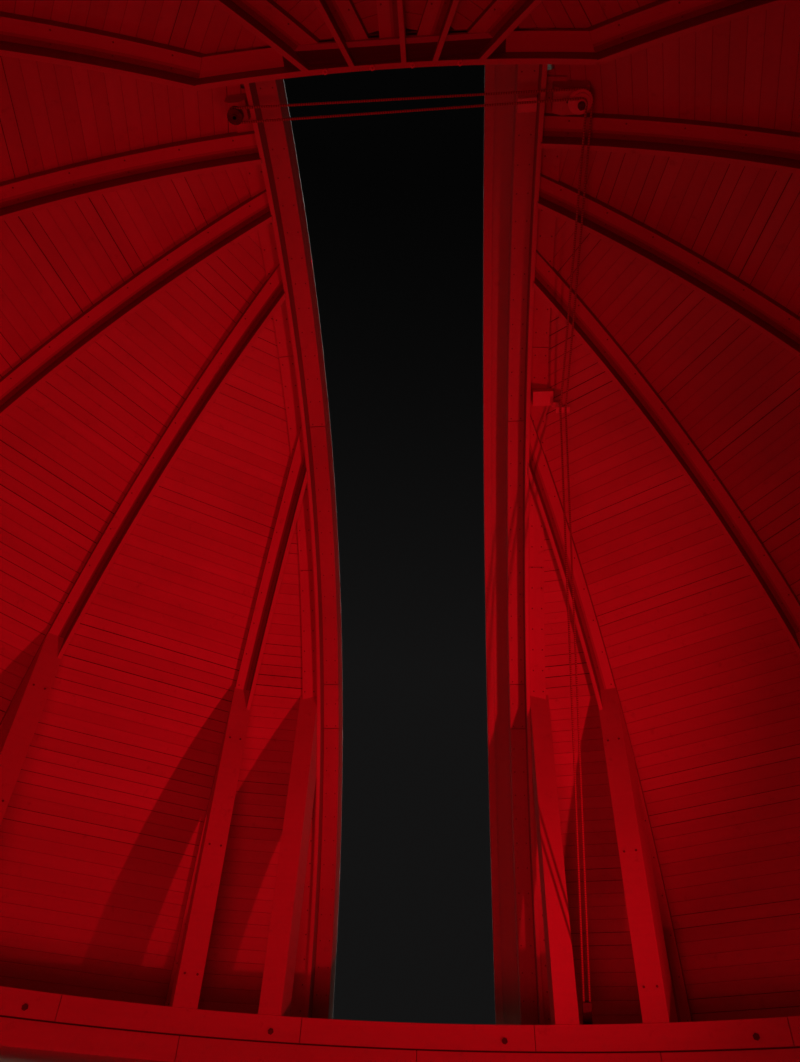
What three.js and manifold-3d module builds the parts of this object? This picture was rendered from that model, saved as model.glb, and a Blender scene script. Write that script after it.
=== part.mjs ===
// Timber observatory dome on a sixteen-sided wall, seen from inside through its open slit.
// Millimetres, +Z up, origin on the ground at the centre, slit towards +Y at rest.
// Azimuths are degrees from +Y towards +X. Heights with "rel" in the name count from the sphere's centre.
import * as THREE from 'three';
import { mergeVertices } from 'three/addons/utils/BufferGeometryUtils.js';
import Module from 'manifold-3d';

const wasm = await Module();
wasm.setup();

// Whole dome
const LINING_R = 3500; // board lining, at the rib lines
const SHELL_THICK = 45;
const CENTRE_Z = 2000;
const SIDES = 16;
const SIDE_ANGLE = 360 / SIDES;
const HALF_SIDE = SIDE_ANGLE / 2;
const SEAT = 0.3; // gap between pieces that are fastened together
const FACET = 5; // elevation step of the curved work, degrees
const FAR = 6000; // reach of the cutting blocks

// Base ring
const RING_IN_R = 2800;
const RING_OUT_R = 3561.7;
const RING_TOP_REL = 359;
const RING_BOTTOM_REL = 150;
const ROUND_SEGMENTS = 72;

// Ribs, arches and header share one section: a plank with one thin board standing on edge beside it
const RIB_WIDTH = 110;
const PLANK_R = 3450; // room face of the rib planks
const RIB_IN_R = 3380; // room edge of the ribs' thin boards
const EDGE_BOARD = 22;
const POST_WIDTH = 116;
const POST_IN_R = 2802;
const POST_DEPTH = 220;
const POST_TOP_R = PLANK_R + 5; // the slanted post top lies on this circle, inside the rib
const ARCH_IN_X = 526;
const ARCH_OUT_X = 640;
const ARCH_PLANK_R = 3444;
const ARCH_IN_R = 3335;
const ARCH_TOP_R = 3590;
const ARCH_POST_TOP_R = 3395;
const ARCH_START = 3; // degrees, below the ring's top
const ARCH_END = 98; // degrees, behind the header
const HEADER_FRONT_Y = -289;
const HEADER_WIDTH = 100;
const HEADER_SPREAD = 17; // degrees to each side of the middle
const HEADER_CUT_R = 3740; // the header and its curb are cut from a beam this deep
const HEADER_RIB_AZIMUTH = 112.5;
const THROUGH_RIBS = [135, 157.5, 180, 202.5, 225]; // ribs whose line runs on across the header
const CURB_DROP = 4; // keeps the rear curb clear of the leaves

// Shutter leaves and their rails
const LEAF_WIDTH = 700;
const LEAF_STILE = 45;
const LEAF_STILE_R = 3602;
const LEAF_PANEL_R = 3620;
const LEAF_OUT_R = 3660;
const LEAF_FOOT_REL = 365; // just above the ring and its skirt
const LEAF_END_Y = -480;
const LEAF_START = 3; // degrees
const LEAF_STOP = 99; // degrees
const LEAF_RIGHT_X = 393; // edge of the right leaf, standing into the slit
const LEAF_LEFT_X = 532; // edge of the left leaf, behind the arch
const SHOE_LENGTH = 90;
const SHOE_INSET = 12;
const SHOE_LAP = 30; // height of a foot shoe's hold on the leaf
const SHOE_DROP = 20; // depth of an end shoe's hold below the panel's face
const RAIL_HALF = 1330;
const RAIL_LOW_Y = [3600, 3655];
const RAIL_LOW_REL = [225, 290];
const RAIL_TOP_Y = [-472, -412];
const RAIL_TOP_REL = [3520, 3562];
const RAIL_POST = 55;
const RAIL_POST_X = [650, 1300];
const RAIL_POST_DROP = 420;
const RAIL_ARM_REACH = 420;
const RAIL_ARM_SHORT = 20; // the arms are this much lower than the rail
const JOINT_LAP = 5; // how far parts of one piece run into each other

// Skirt, trucks and track
const SKIRT_THICK = 28;
const SKIRT_BOTTOM = 1900;
const TRACK_R = 3200;
const TRACK_HALF_WIDTH = 30;
const TRACK_HEIGHT = 30;
const TRUCKS = 8;
const WHEEL_R = 55;
const WHEEL_WIDTH = 40;
const WHEEL_SIDES = 16;
const AXLE_R = 12;
const AXLE_HALF = 44;
const TRUCK_PLATE = [12, 150, 92]; // thickness, length, depth
const TRUCK_PLATE_OFFSET = 32;

// Wall, floor and door
const WALL_OUT_R = 3400;
const WALL_THICK = 320;
const WALL_TOP = 1950;
const PLATE_TOP = 2000;
const FLOOR_TOP = 100;
const DOORWAY_HALF = 480;
const DOORWAY_TOP = 1900;
const FRAME_WIDTH = 50;
const FRAME_DEPTH = 200;
const DOOR_THICK = 45;
const DOOR_SET_BACK = 35;
const STOP = 15;

// Shutter rope and what guides it
const ROPE_R = 5;
const ROPE_SIDES = 6;
const ROPE_REL = 3300;
const ROPE_LEFT = { x: -700, y: -168, r: 30 };
const ROPE_RIGHT = { x: 785, y: -140, outer: 50, inner: 22 };
const ROPE_GUIDE = { x: 806, y: 1290, rel: 2975 };
const ROPE_FOOT = { x: 800, y: 2760, rel: 450 };
const GUIDE_BOX_X = [654, 764];
const GUIDE_BOX_R = 3335;
const GUIDE_BOX_RUN = [0, 80]; // along the arc from the guide, clear of the nearest rib
const STRAND_GAP = 28;
const BRACKET_RISE = 20; // from the rope up to a block's bracket
const BRACKET_LEFT = { x: [-48, 42], y: [-45, 45], pin: 9, pinDrop: 24 };
const BRACKET_RIGHT = { x: [-110, 40], y: [-48, 60], pin: 11, pinDrop: 55 };
const FLANGE_LIP = 4;
const GUIDE_PLATE = { half: 36, thick: 14, run: 16 };
const GUIDE_STEM = 9;
const GUIDE_ARM = { low: 15, high: 35, run: 12 };
const FOOT_CHEEK = { half: 20, below: 160, above: 12 };
const FOOT_BASE = { half: 32, depth: 42, thick: 12, back: 50 };
const SHEAVE_SIDES = 16;
const SHEAVE_HALF = 7;
const ROPE_TURN = 22.5; // degrees of each straight piece of the rope round a sheave

const deg = (value) => (value * Math.PI) / 180;
const wallApothem = WALL_OUT_R * Math.cos(deg(HALF_SIDE));
const wallInApothem = wallApothem - WALL_THICK;
const wallInR = wallInApothem / Math.cos(deg(HALF_SIDE));
const trackTop = PLATE_TOP + SEAT + TRACK_HEIGHT;
const headerRearY = HEADER_FRONT_Y - HEADER_WIDTH;
const headerInR = circleHeight(RIB_IN_R, HEADER_FRONT_Y);
const headerPlankR = headerInR + PLANK_R - RIB_IN_R;
const headerEnd = (HEADER_FRONT_Y + headerRearY) / 2 / Math.cos(deg(HEADER_RIB_AZIMUTH));

function circleHeight(radius, distance) {
  return Math.sqrt(radius * radius - distance * distance);
}

// Solids

function orient(positions, index) {
  const [a, b, c] = [new THREE.Vector3(), new THREE.Vector3(), new THREE.Vector3()];
  let volume = 0;
  for (let i = 0; i < index.length; i += 3) {
    a.fromArray(positions, index[i] * 3);
    b.fromArray(positions, index[i + 1] * 3);
    c.fromArray(positions, index[i + 2] * 3);
    volume += a.dot(b.cross(c));
  }
  if (volume < 0) {
    for (let i = 0; i < index.length; i += 3) {
      [index[i], index[i + 1]] = [index[i + 1], index[i]];
    }
  }
}

function solidFrom(points, index) {
  const positions = points.flatMap((p) => [p.x, p.y, p.z]);
  orient(positions, index);
  const geometry = new THREE.BufferGeometry();
  geometry.setAttribute('position', new THREE.Float32BufferAttribute(positions, 3));
  geometry.setIndex(index);
  const merged = mergeVertices(geometry, 1e-3);
  return new wasm.Manifold(
    new wasm.Mesh({
      numProp: 3,
      vertProperties: new Float32Array(merged.attributes.position.array),
      triVerts: new Uint32Array(merged.index.array),
    }),
  );
}

// A closed section swept through stations; place(a, b, station) gives the point.
function loft(section, stations, place) {
  const count = section.length;
  const points = stations.flatMap((station) => section.map(([a, b]) => place(a, b, station)));
  const index = [];
  for (let k = 0; k < stations.length - 1; k += 1) {
    for (let i = 0; i < count; i += 1) {
      const j = (i + 1) % count;
      const low = k * count;
      const high = low + count;
      index.push(low + i, low + j, high + j, low + i, high + j, high + i);
    }
  }
  const outline = section.map(([a, b]) => new THREE.Vector2(a, b));
  const side = Math.sign(THREE.ShapeUtils.area(outline));
  const last = (stations.length - 1) * count;
  for (const [i, j, k] of THREE.ShapeUtils.triangulateShape(outline, [])) {
    const sameTurn = Math.sign(THREE.ShapeUtils.area([outline[i], outline[j], outline[k]])) === side;
    const [p, q] = sameTurn ? [i, j] : [j, i];
    index.push(q, p, k, p + last, q + last, k + last);
  }
  return solidFrom(points, index);
}

function prism(outline, low, high) {
  return loft(outline, [low, high], (x, y, z) => new THREE.Vector3(x, y, z));
}

function block([x0, x1], [y0, y1], [z0, z1]) {
  const outline = [[x0, y0], [x1, y0], [x1, y1], [x0, y1]];
  return prism(outline, z0, z1);
}

function along(azimuth, distance, side = 0) {
  const a = deg(azimuth);
  return [
    distance * Math.sin(a) + side * Math.cos(a),
    distance * Math.cos(a) - side * Math.sin(a),
  ];
}

// A block set out from the axis: distances along the azimuth, sides across it.
function radialBlock(azimuth, [d0, d1], [s0, s1], [z0, z1]) {
  const outline = [along(azimuth, d0, s0), along(azimuth, d1, s0), along(azimuth, d1, s1), along(azimuth, d0, s1)];
  return prism(outline, z0, z1);
}

function polygon(sides, radius, first = 0) {
  return Array.from({ length: sides }, (_, k) => along(first + (k * 360) / sides, radius));
}

function union(solids) {
  return solids.reduce((sum, solid) => sum.add(solid));
}

// Stations every few degrees between two angles, both ends included.
function stations(from, to) {
  const count = Math.ceil((to - from) / FACET - 1e-6);
  return Array.from({ length: count + 1 }, (_, k) => from + ((to - from) * k) / count);
}

// The inside of the dome as one solid: sixteen flat-sided gores up to the crown.
function domeSolid(radius) {
  const rings = stations(0, 90 - FACET);
  const points = [];
  for (const theta of rings) {
    for (const [x, y] of polygon(SIDES, radius * Math.cos(deg(theta)))) {
      points.push(new THREE.Vector3(x, y, CENTRE_Z + radius * Math.sin(deg(theta))));
    }
  }
  points.push(new THREE.Vector3(0, 0, CENTRE_Z + radius));
  points.push(new THREE.Vector3(0, 0, CENTRE_Z));
  const crown = points.length - 2;
  const base = points.length - 1;
  const index = [];
  const lastRing = (rings.length - 1) * SIDES;
  for (let i = 0; i < SIDES; i += 1) {
    const j = (i + 1) % SIDES;
    for (let k = 0; k < lastRing; k += SIDES) {
      index.push(k + i, k + SIDES + j, k + j, k + i, k + SIDES + i, k + SIDES + j);
    }
    index.push(lastRing + i, crown, lastRing + j);
    index.push(base, i, j);
  }
  return solidFrom(points, index);
}

// Section of ribs and beams: a plank, and at its high edge a thin board that stands into the room.
function edgedSection([low, high], plankR, inner, ...back) {
  return [
    [low, plankR],
    [high - EDGE_BOARD, plankR],
    [high - EDGE_BOARD, inner],
    [high, inner],
    ...back,
  ];
}

// Everything at least so far out along an azimuth and above the ring.
function farSide(azimuth, distance) {
  return radialBlock(azimuth, [distance, FAR], [-FAR, FAR], [CENTRE_Z + RING_TOP_REL + SEAT, FAR]);
}

const interior = domeSolid(LINING_R - SEAT);

// Half arch behind one azimuth, its thin board towards the slit; the back is two slopes on the flat gores.
function ribArc(azimuth) {
  const edge = RIB_WIDTH / 2;
  const backR = LINING_R - SEAT;
  const toSlit = azimuth > 0 && azimuth <= 180 ? -1 : 1;
  const section = edgedSection([-edge, edge], PLANK_R, RIB_IN_R, [edge, backR], [0, backR], [-edge, backR]);
  return loft(section, stations(FACET, 90 - FACET), (side, radius, theta) => {
    const slope = radius === backR ? Math.abs(side) * Math.tan(deg(HALF_SIDE)) : 0;
    const [x, y] = along(azimuth, radius * Math.cos(deg(theta)) - slope, toSlit * side);
    return new THREE.Vector3(x, y, CENTRE_Z + radius * Math.sin(deg(theta)));
  });
}

// The post stands on the ring's inner edge and runs up into the rib.
function ribPost(azimuth) {
  const outerR = POST_IN_R + POST_DEPTH;
  const foot = RING_TOP_REL + SEAT;
  const section = [
    [POST_IN_R, foot],
    [outerR, foot],
    [outerR, circleHeight(POST_TOP_R, outerR)],
    [POST_IN_R, circleHeight(POST_TOP_R, POST_IN_R)],
  ];
  return loft(section, [-POST_WIDTH / 2, POST_WIDTH / 2], (distance, height, side) => {
    const [x, y] = along(azimuth, distance, side);
    return new THREE.Vector3(x, y, CENTRE_Z + height);
  });
}

function rib(azimuth, limitAzimuth, limit) {
  const arc = ribArc(azimuth).intersect(farSide(limitAzimuth, limit + SEAT));
  return arc.add(ribPost(azimuth));
}

// One of the two arches beside the slit; side is +1 on the right and -1 on the left.
function arch(side) {
  const top = [[ARCH_OUT_X, ARCH_TOP_R], [ARCH_IN_X, ARCH_TOP_R]];
  const section = edgedSection([ARCH_IN_X, ARCH_OUT_X], ARCH_PLANK_R, ARCH_IN_R, ...top);
  const curve = loft(section, stations(ARCH_START, ARCH_END), (x, radius, theta) => new THREE.Vector3(
    side * x,
    radius * Math.cos(deg(theta)),
    CENTRE_Z + radius * Math.sin(deg(theta)),
  ));
  const foot = CENTRE_Z + RING_TOP_REL + SEAT;
  const kept = curve.intersect(block([-FAR, FAR], [HEADER_FRONT_Y + SEAT, FAR], [foot, FAR]));
  return kept.add(archPost(side).intersect(interior));
}

// The post beside the arch, bolted to the arch's outer face.
function archPost(side) {
  const innerX = ARCH_OUT_X - 1;
  const outerX = ARCH_OUT_X + POST_WIDTH;
  const frontY = circleHeight(POST_IN_R, outerX);
  const rearY = frontY + POST_DEPTH;
  const section = [
    [frontY, RING_TOP_REL + SEAT],
    [rearY, RING_TOP_REL + SEAT],
    [rearY, circleHeight(ARCH_POST_TOP_R, rearY)],
    [frontY, circleHeight(ARCH_POST_TOP_R, frontY)],
  ];
  return loft(section, [innerX, outerX], (y, height, x) => new THREE.Vector3(side * x, y, CENTRE_Z + height));
}

// Crossbeam at the closed end of the slit, with the raised rear curb above it.
function header() {
  const yRange = [headerRearY, HEADER_FRONT_Y];
  const top = [[HEADER_FRONT_Y, HEADER_CUT_R], [headerRearY, HEADER_CUT_R]];
  const section = edgedSection(yRange, headerPlankR, headerInR, ...top);
  const beam = loft(section, stations(-HEADER_SPREAD, HEADER_SPREAD), (y, radius, turn) => new THREE.Vector3(
    radius * Math.sin(deg(turn)),
    y,
    CENTRE_Z + radius * Math.cos(deg(turn)),
  ));
  const curbTop = CENTRE_Z + circleHeight(ARCH_TOP_R - CURB_DROP, headerRearY);
  const curb = block([-ARCH_OUT_X, ARCH_OUT_X], yRange, [CENTRE_Z, curbTop]);
  const envelope = block([-FAR, FAR], yRange, [CENTRE_Z, FAR]);
  const throughRibs = THROUGH_RIBS.map((azimuth) => ribArc(azimuth).intersect(envelope));
  return beam
    .intersect(interior.add(curb))
    .add(union(throughRibs))
    .subtract(farSide(HEADER_RIB_AZIMUTH, headerEnd))
    .subtract(farSide(-HEADER_RIB_AZIMUTH, headerEnd));
}

// Wedge between two azimuths, with half a seat gap on each side.
function sector(from, to, low, high) {
  const half = (to - from) / 2;
  const middle = from + half;
  const tip = SEAT / 2 / Math.sin(deg(half));
  const reach = FAR / Math.cos(deg(half));
  const start = along(middle, tip);
  const ends = [from, middle, to].map((azimuth) => {
    const [x, y] = along(azimuth, azimuth === middle ? FAR : reach);
    return [x + start[0], y + start[1]];
  });
  return prism([start, ...ends], low, high);
}

function shellPanel(from, to) {
  const outer = domeSolid(LINING_R + SHELL_THICK);
  const inner = domeSolid(LINING_R);
  const cut = ARCH_OUT_X + SEAT;
  const slit = block([-cut, cut], [headerRearY - SEAT, FAR], [0, FAR]);
  const foot = CENTRE_Z + RING_TOP_REL + SEAT;
  return outer
    .subtract(inner)
    .intersect(sector(from, to, foot, FAR))
    .subtract(slit);
}

// Base ring: straight outside, round inside, with the wheel trucks under it.
function domeRing() {
  const low = CENTRE_Z + RING_BOTTOM_REL;
  const high = CENTRE_Z + RING_TOP_REL;
  const bore = prism(polygon(ROUND_SEGMENTS, RING_IN_R), low - 10, high + 10);
  const trucks = Array.from({ length: TRUCKS }, (_, k) => truck((k + 0.5) * (360 / TRUCKS)));
  return prism(polygon(SIDES, RING_OUT_R), low, high).subtract(bore).add(union(trucks));
}

// A wheel between two plates, on a square axle.
function truck(azimuth) {
  const axisZ = trackTop + SEAT + WHEEL_R;
  const [thickness, length, depth] = TRUCK_PLATE;
  const top = CENTRE_Z + RING_BOTTOM_REL + 1;
  const plates = [-1, 1].map((side) => {
    const middle = TRACK_R + side * TRUCK_PLATE_OFFSET;
    const reach = [middle - thickness / 2, middle + thickness / 2];
    return radialBlock(azimuth, reach, [-length / 2, length / 2], [top - depth, top]);
  });
  const wheel = loft(
    polygon(WHEEL_SIDES, WHEEL_R),
    [TRACK_R - WHEEL_WIDTH / 2, TRACK_R + WHEEL_WIDTH / 2],
    (a, b, distance) => {
      const [x, y] = along(azimuth, distance, a);
      return new THREE.Vector3(x, y, axisZ + b);
    },
  );
  const reach = [TRACK_R - AXLE_HALF, TRACK_R + AXLE_HALF];
  const axle = radialBlock(azimuth, reach, [-AXLE_R, AXLE_R], [axisZ - AXLE_R, axisZ + AXLE_R]);
  return union([...plates, wheel, axle]);
}

function skirt() {
  const inner = RING_OUT_R + SEAT / Math.cos(deg(HALF_SIDE));
  const outer = inner + SKIRT_THICK;
  const top = CENTRE_Z + RING_TOP_REL;
  const body = prism(polygon(SIDES, outer), SKIRT_BOTTOM, top);
  return body.subtract(prism(polygon(SIDES, inner), SKIRT_BOTTOM - 10, top + 10));
}

function leaf(side, edgeX) {
  const outerX = edgeX + LEAF_WIDTH;
  const section = [
    [edgeX, LEAF_STILE_R],
    [edgeX + LEAF_STILE, LEAF_STILE_R],
    [edgeX + LEAF_STILE, LEAF_PANEL_R],
    [outerX - LEAF_STILE, LEAF_PANEL_R],
    [outerX - LEAF_STILE, LEAF_STILE_R],
    [outerX, LEAF_STILE_R],
    [outerX, LEAF_OUT_R],
    [edgeX, LEAF_OUT_R],
  ];
  const curve = loft(section, stations(LEAF_START, LEAF_STOP), (x, radius, theta) => new THREE.Vector3(
    side * x,
    radius * Math.cos(deg(theta)),
    CENTRE_Z + radius * Math.sin(deg(theta)),
  ));
  const kept = curve.intersect(block([-FAR, FAR], [LEAF_END_Y, FAR], [CENTRE_Z + LEAF_FOOT_REL, FAR]));
  return kept.add(leafShoes(side, edgeX));
}

// Four shoes that run on the two straight rails.
function leafShoes(side, edgeX) {
  const footY = [RAIL_LOW_Y[0] + SHOE_INSET, RAIL_LOW_Y[1] - SHOE_INSET];
  const footZ = [CENTRE_Z + RAIL_LOW_REL[1] + SEAT, CENTRE_Z + LEAF_FOOT_REL + SHOE_LAP];
  const endY = [RAIL_TOP_Y[0] + SHOE_INSET, RAIL_TOP_Y[1] - SHOE_INSET];
  const endZ = [CENTRE_Z + RAIL_TOP_REL[1] + SEAT, CENTRE_Z + LEAF_PANEL_R - SHOE_DROP];
  const starts = [edgeX + LEAF_STILE, edgeX + LEAF_WIDTH - LEAF_STILE - SHOE_LENGTH];
  return union(starts.flatMap((start) => {
    const ends = [side * start, side * (start + SHOE_LENGTH)].sort((a, b) => a - b);
    return [block(ends, footY, footZ), block(ends, endY, endZ)];
  }));
}

// Straight rail on short posts, cut to seat on the shell.
function upperRail() {
  const rail = block([-RAIL_HALF, RAIL_HALF], RAIL_TOP_Y, RAIL_TOP_REL.map((z) => CENTRE_Z + z));
  const low = CENTRE_Z + RAIL_TOP_REL[0] - RAIL_POST_DROP;
  const high = CENTRE_Z + RAIL_TOP_REL[0] + JOINT_LAP;
  const posts = RAIL_POST_X.flatMap((x) => [-1, 1].map((side) => block(
    side > 0 ? [x - RAIL_POST, x] : [-x, RAIL_POST - x],
    RAIL_TOP_Y,
    [low, high],
  )));
  return union([rail, ...posts]).subtract(domeSolid(LINING_R + SHELL_THICK + SEAT));
}

// Straight rail in front of the skirt, on arms that seat on the skirt's flat sides.
function lowerRail() {
  const zRange = RAIL_LOW_REL.map((z) => CENTRE_Z + z);
  const rail = block([-RAIL_HALF, RAIL_HALF], RAIL_LOW_Y, zRange);
  const arms = [0, ...RAIL_POST_X].flatMap((x) => [-1, 1].map((side) => block(
    side > 0 ? [x - RAIL_POST / 2, x + RAIL_POST / 2] : [-x - RAIL_POST / 2, RAIL_POST / 2 - x],
    [RAIL_LOW_Y[0] - RAIL_ARM_REACH, RAIL_LOW_Y[0] + JOINT_LAP],
    [zRange[0], zRange[1] - RAIL_ARM_SHORT],
  )));
  const skirtOut = RING_OUT_R + SKIRT_THICK + (2 * SEAT) / Math.cos(deg(HALF_SIDE));
  return union([rail, ...arms]).subtract(prism(polygon(SIDES, skirtOut), 0, FAR));
}

// Rope and its fittings

// The groove clears the rope's straight pieces, which cut the corner a little.
function grooveR(ropeRadius) {
  return ropeRadius * Math.cos(deg(ROPE_TURN / 2)) - ROPE_R - SEAT;
}

function sheave(x, y, radius, z) {
  const outline = polygon(SHEAVE_SIDES, radius).map(([a, b]) => [x + a, y + b]);
  return prism(outline, z - SHEAVE_HALF, z + SHEAVE_HALF);
}

function hangingPin(x, y, radius, z) {
  const outline = polygon(SHEAVE_SIDES, radius).map(([a, b]) => [x + a, y + b]);
  return prism(outline, z, CENTRE_Z + LINING_R).intersect(interior);
}

// The bracket over a block, cut to the lining.
function blockBracket({ x, y }, bracket) {
  const xRange = bracket.x.map((value) => x + value);
  const yRange = bracket.y.map((value) => y + value);
  return block(xRange, yRange, [CENTRE_Z + ROPE_REL + BRACKET_RISE, FAR]).intersect(interior);
}

function leftBlock() {
  const { x, y, r } = ROPE_LEFT;
  const z = CENTRE_Z + ROPE_REL;
  const wheel = sheave(x, y, grooveR(r), z);
  const flanges = [-1, 1].map((side) => sheave(x, y, r + FLANGE_LIP, z + side * (SHEAVE_HALF * 2 - 1)));
  const pin = hangingPin(x, y, BRACKET_LEFT.pin, z - BRACKET_LEFT.pinDrop);
  return union([wheel, ...flanges, pin, blockBracket(ROPE_LEFT, BRACKET_LEFT)]);
}

function rightBlock() {
  const { x, y, outer, inner } = ROPE_RIGHT;
  const z = CENTRE_Z + ROPE_REL;
  const big = sheave(x, y, grooveR(outer), z);
  const small = sheave(x, y, grooveR(inner), z - STRAND_GAP);
  const between = sheave(x, y, outer - 10, z - STRAND_GAP / 2);
  const under = sheave(x, y, inner - 8, z - STRAND_GAP - SHEAVE_HALF * 2 + 1);
  const pin = hangingPin(x, y, BRACKET_RIGHT.pin, z - BRACKET_RIGHT.pinDrop);
  return union([big, small, between, under, pin, blockBracket(ROPE_RIGHT, BRACKET_RIGHT)]);
}

// A point in a frame that follows the dome at one elevation: radius outwards, run along the arc.
function arcPoint(theta, x, radius, run) {
  const sine = Math.sin(deg(theta));
  const cosine = Math.cos(deg(theta));
  return new THREE.Vector3(x, radius * cosine - run * sine, CENTRE_Z + radius * sine + run * cosine);
}

function arcBlock(theta, [x0, x1], [r0, r1], [u0, u1]) {
  const section = [[r0, u0], [r1, u0], [r1, u1], [r0, u1]];
  return loft(section, [x0, x1], (radius, run, x) => arcPoint(theta, x, radius, run));
}

// Small box on the lining beside the right arch, with a plate that guides the rope.
function guideBox() {
  const { x, y, rel } = ROPE_GUIDE;
  const theta = THREE.MathUtils.radToDeg(Math.atan2(rel, y));
  const ropeTop = Math.hypot(rel, y) + ROPE_R + SEAT;
  const box = arcBlock(theta, GUIDE_BOX_X, [GUIDE_BOX_R, FAR], GUIDE_BOX_RUN);
  const { half, thick, run } = GUIDE_PLATE;
  const plate = arcBlock(theta, [x - half, x + half], [ropeTop, ropeTop + thick], [-run, run]);
  const stemRange = [-GUIDE_STEM, GUIDE_STEM];
  const stem = arcBlock(theta, stemRange.map((value) => x + value), [ropeTop + thick / 2, FAR], stemRange);
  const armR = [GUIDE_BOX_R + GUIDE_ARM.low, GUIDE_BOX_R + GUIDE_ARM.high];
  const arm = arcBlock(theta, [GUIDE_BOX_X[1] - JOINT_LAP, x], armR, [-GUIDE_ARM.run, GUIDE_ARM.run]);
  return union([box, stem]).intersect(interior).add(plate).add(arm);
}

// Frame of the rope's lower run: its lean, and the foot's place in that frame.
function footFrame() {
  const { x, y, rel } = ROPE_FOOT;
  const lean = Math.atan2(y - ROPE_GUIDE.y, ROPE_GUIDE.rel - rel);
  const radius = y * Math.cos(lean) + rel * Math.sin(lean);
  const run = rel * Math.cos(lean) - y * Math.sin(lean);
  return { x, theta: THREE.MathUtils.radToDeg(lean), radius, run };
}

// Small pulley on the ring's ledge, leaning with the rope.
function footPulley() {
  const { x, theta, radius, run } = footFrame();
  const top = CENTRE_Z + RING_TOP_REL + SEAT;
  const wheel = loft(
    polygon(SHEAVE_SIDES, grooveR(STRAND_GAP / 2)),
    [radius - SHEAVE_HALF, radius + SHEAVE_HALF],
    (a, b, r) => arcPoint(theta, x + a, r, run + b),
  );
  const cheeks = [-1, 1].map((side) => {
    const near = radius + side * (SHEAVE_HALF - 1);
    const far = radius + side * 2 * SHEAVE_HALF;
    const { half, below, above } = FOOT_CHEEK;
    const rRange = [Math.min(near, far), Math.max(near, far)];
    return arcBlock(theta, [x - half, x + half], rRange, [run - below, run + above]);
  });
  const { half, depth, thick, back } = FOOT_BASE;
  const baseY = ROPE_FOOT.y + back;
  const base = block([x - half, x + half], [baseY - depth, baseY + depth], [top, top + thick]);
  const above = block([-FAR, FAR], [-FAR, FAR], [top, FAR]);
  return union([wheel, ...cheeks]).intersect(above).add(base);
}

function arcPoints(cx, cy, radius, z, from, to) {
  const count = Math.abs(to - from) / ROPE_TURN;
  return Array.from({ length: count + 1 }, (_, k) => {
    const a = deg(from + ((to - from) * k) / count);
    return new THREE.Vector3(cx + radius * Math.cos(a), cy + radius * Math.sin(a), z);
  });
}

// The rope's closed route: round the left sheave, across the slit, down to the ring and back.
function ropeRoute() {
  const z = CENTRE_Z + ROPE_REL;
  const { x: lx, y: ly, r } = ROPE_LEFT;
  const { x: rx, y: ry, outer, inner } = ROPE_RIGHT;
  const guideZ = CENTRE_Z + ROPE_GUIDE.rel;
  const half = STRAND_GAP / 2;
  const { x: fx, theta, radius, run } = footFrame();
  const foot = Array.from({ length: 180 / ROPE_TURN + 1 }, (_, k) => {
    const a = deg(-ROPE_TURN * k);
    return arcPoint(theta, fx + half * Math.cos(a), radius, run + half * Math.sin(a));
  });
  return [
    ...arcPoints(lx, ly, r, z, 90, 270),
    ...arcPoints(rx, ry, outer, z, -90, 0),
    new THREE.Vector3(ROPE_GUIDE.x + half, ROPE_GUIDE.y, guideZ),
    ...foot,
    new THREE.Vector3(ROPE_GUIDE.x - half, ROPE_GUIDE.y, guideZ),
    ...arcPoints(rx, ry, inner, z - STRAND_GAP, 0, -90),
  ];
}

// Six-sided tube round a closed route, its frame carried from point to point.
function closedTube(route, radius, sides) {
  const count = route.length;
  const directions = route.map((point, k) => {
    const next = route[(k + 1) % count].clone().sub(point).normalize();
    const before = point.clone().sub(route[(k + count - 1) % count]).normalize();
    return next.add(before).normalize();
  });
  const normals = [new THREE.Vector3(0, 0, 1)];
  for (let k = 1; k <= count; k += 1) {
    const turn = new THREE.Quaternion().setFromUnitVectors(directions[k - 1], directions[k % count]);
    normals.push(normals[k - 1].clone().applyQuaternion(turn));
  }
  const across = directions[0].clone().cross(normals[0]);
  const twist = Math.atan2(normals[count].dot(across), normals[count].dot(normals[0]));
  const points = route.flatMap((point, k) => Array.from({ length: sides }, (_, i) => {
    const angle = (i * 2 * Math.PI) / sides - (twist * k) / count;
    return point.clone().add(normals[k].clone().applyAxisAngle(directions[k], angle).multiplyScalar(radius));
  }));
  const index = [];
  for (let k = 0; k < count; k += 1) {
    for (let i = 0; i < sides; i += 1) {
      const j = (i + 1) % sides;
      const low = k * sides;
      const high = ((k + 1) % count) * sides;
      index.push(low + i, low + j, high + j, low + i, high + j, high + i);
    }
  }
  return solidFrom(points, index);
}

// Wall, floor, door

const wallOutline = (radius) => polygon(SIDES, radius, HALF_SIDE);

function wallPart(from, to) {
  const body = prism(wallOutline(WALL_OUT_R), 0, WALL_TOP).subtract(prism(wallOutline(wallInR), -10, WALL_TOP + 10));
  return body.intersect(sector(from, to, 0, WALL_TOP));
}

function doorWall() {
  const opening = block([-DOORWAY_HALF, DOORWAY_HALF], [-FAR, 0], [-10, DOORWAY_TOP]);
  return wallPart(180 - HALF_SIDE, 180 + HALF_SIDE).subtract(opening);
}

function doorFrame() {
  const outY = -wallApothem + 10;
  const half = DOORWAY_HALF - SEAT;
  const top = DOORWAY_TOP - SEAT;
  const body = block([-half, half], [outY, outY + FRAME_DEPTH], [0, top]);
  const clear = half - FRAME_WIDTH;
  const rebateY = outY + DOOR_SET_BACK + DOOR_THICK + SEAT;
  const wide = block([-clear, clear], [outY - 10, rebateY], [FLOOR_TOP, top - FRAME_WIDTH]);
  const narrow = block([STOP - clear, clear - STOP], [outY, 0], [FLOOR_TOP, top - FRAME_WIDTH - STOP]);
  return body.subtract(wide).subtract(narrow);
}

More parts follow.
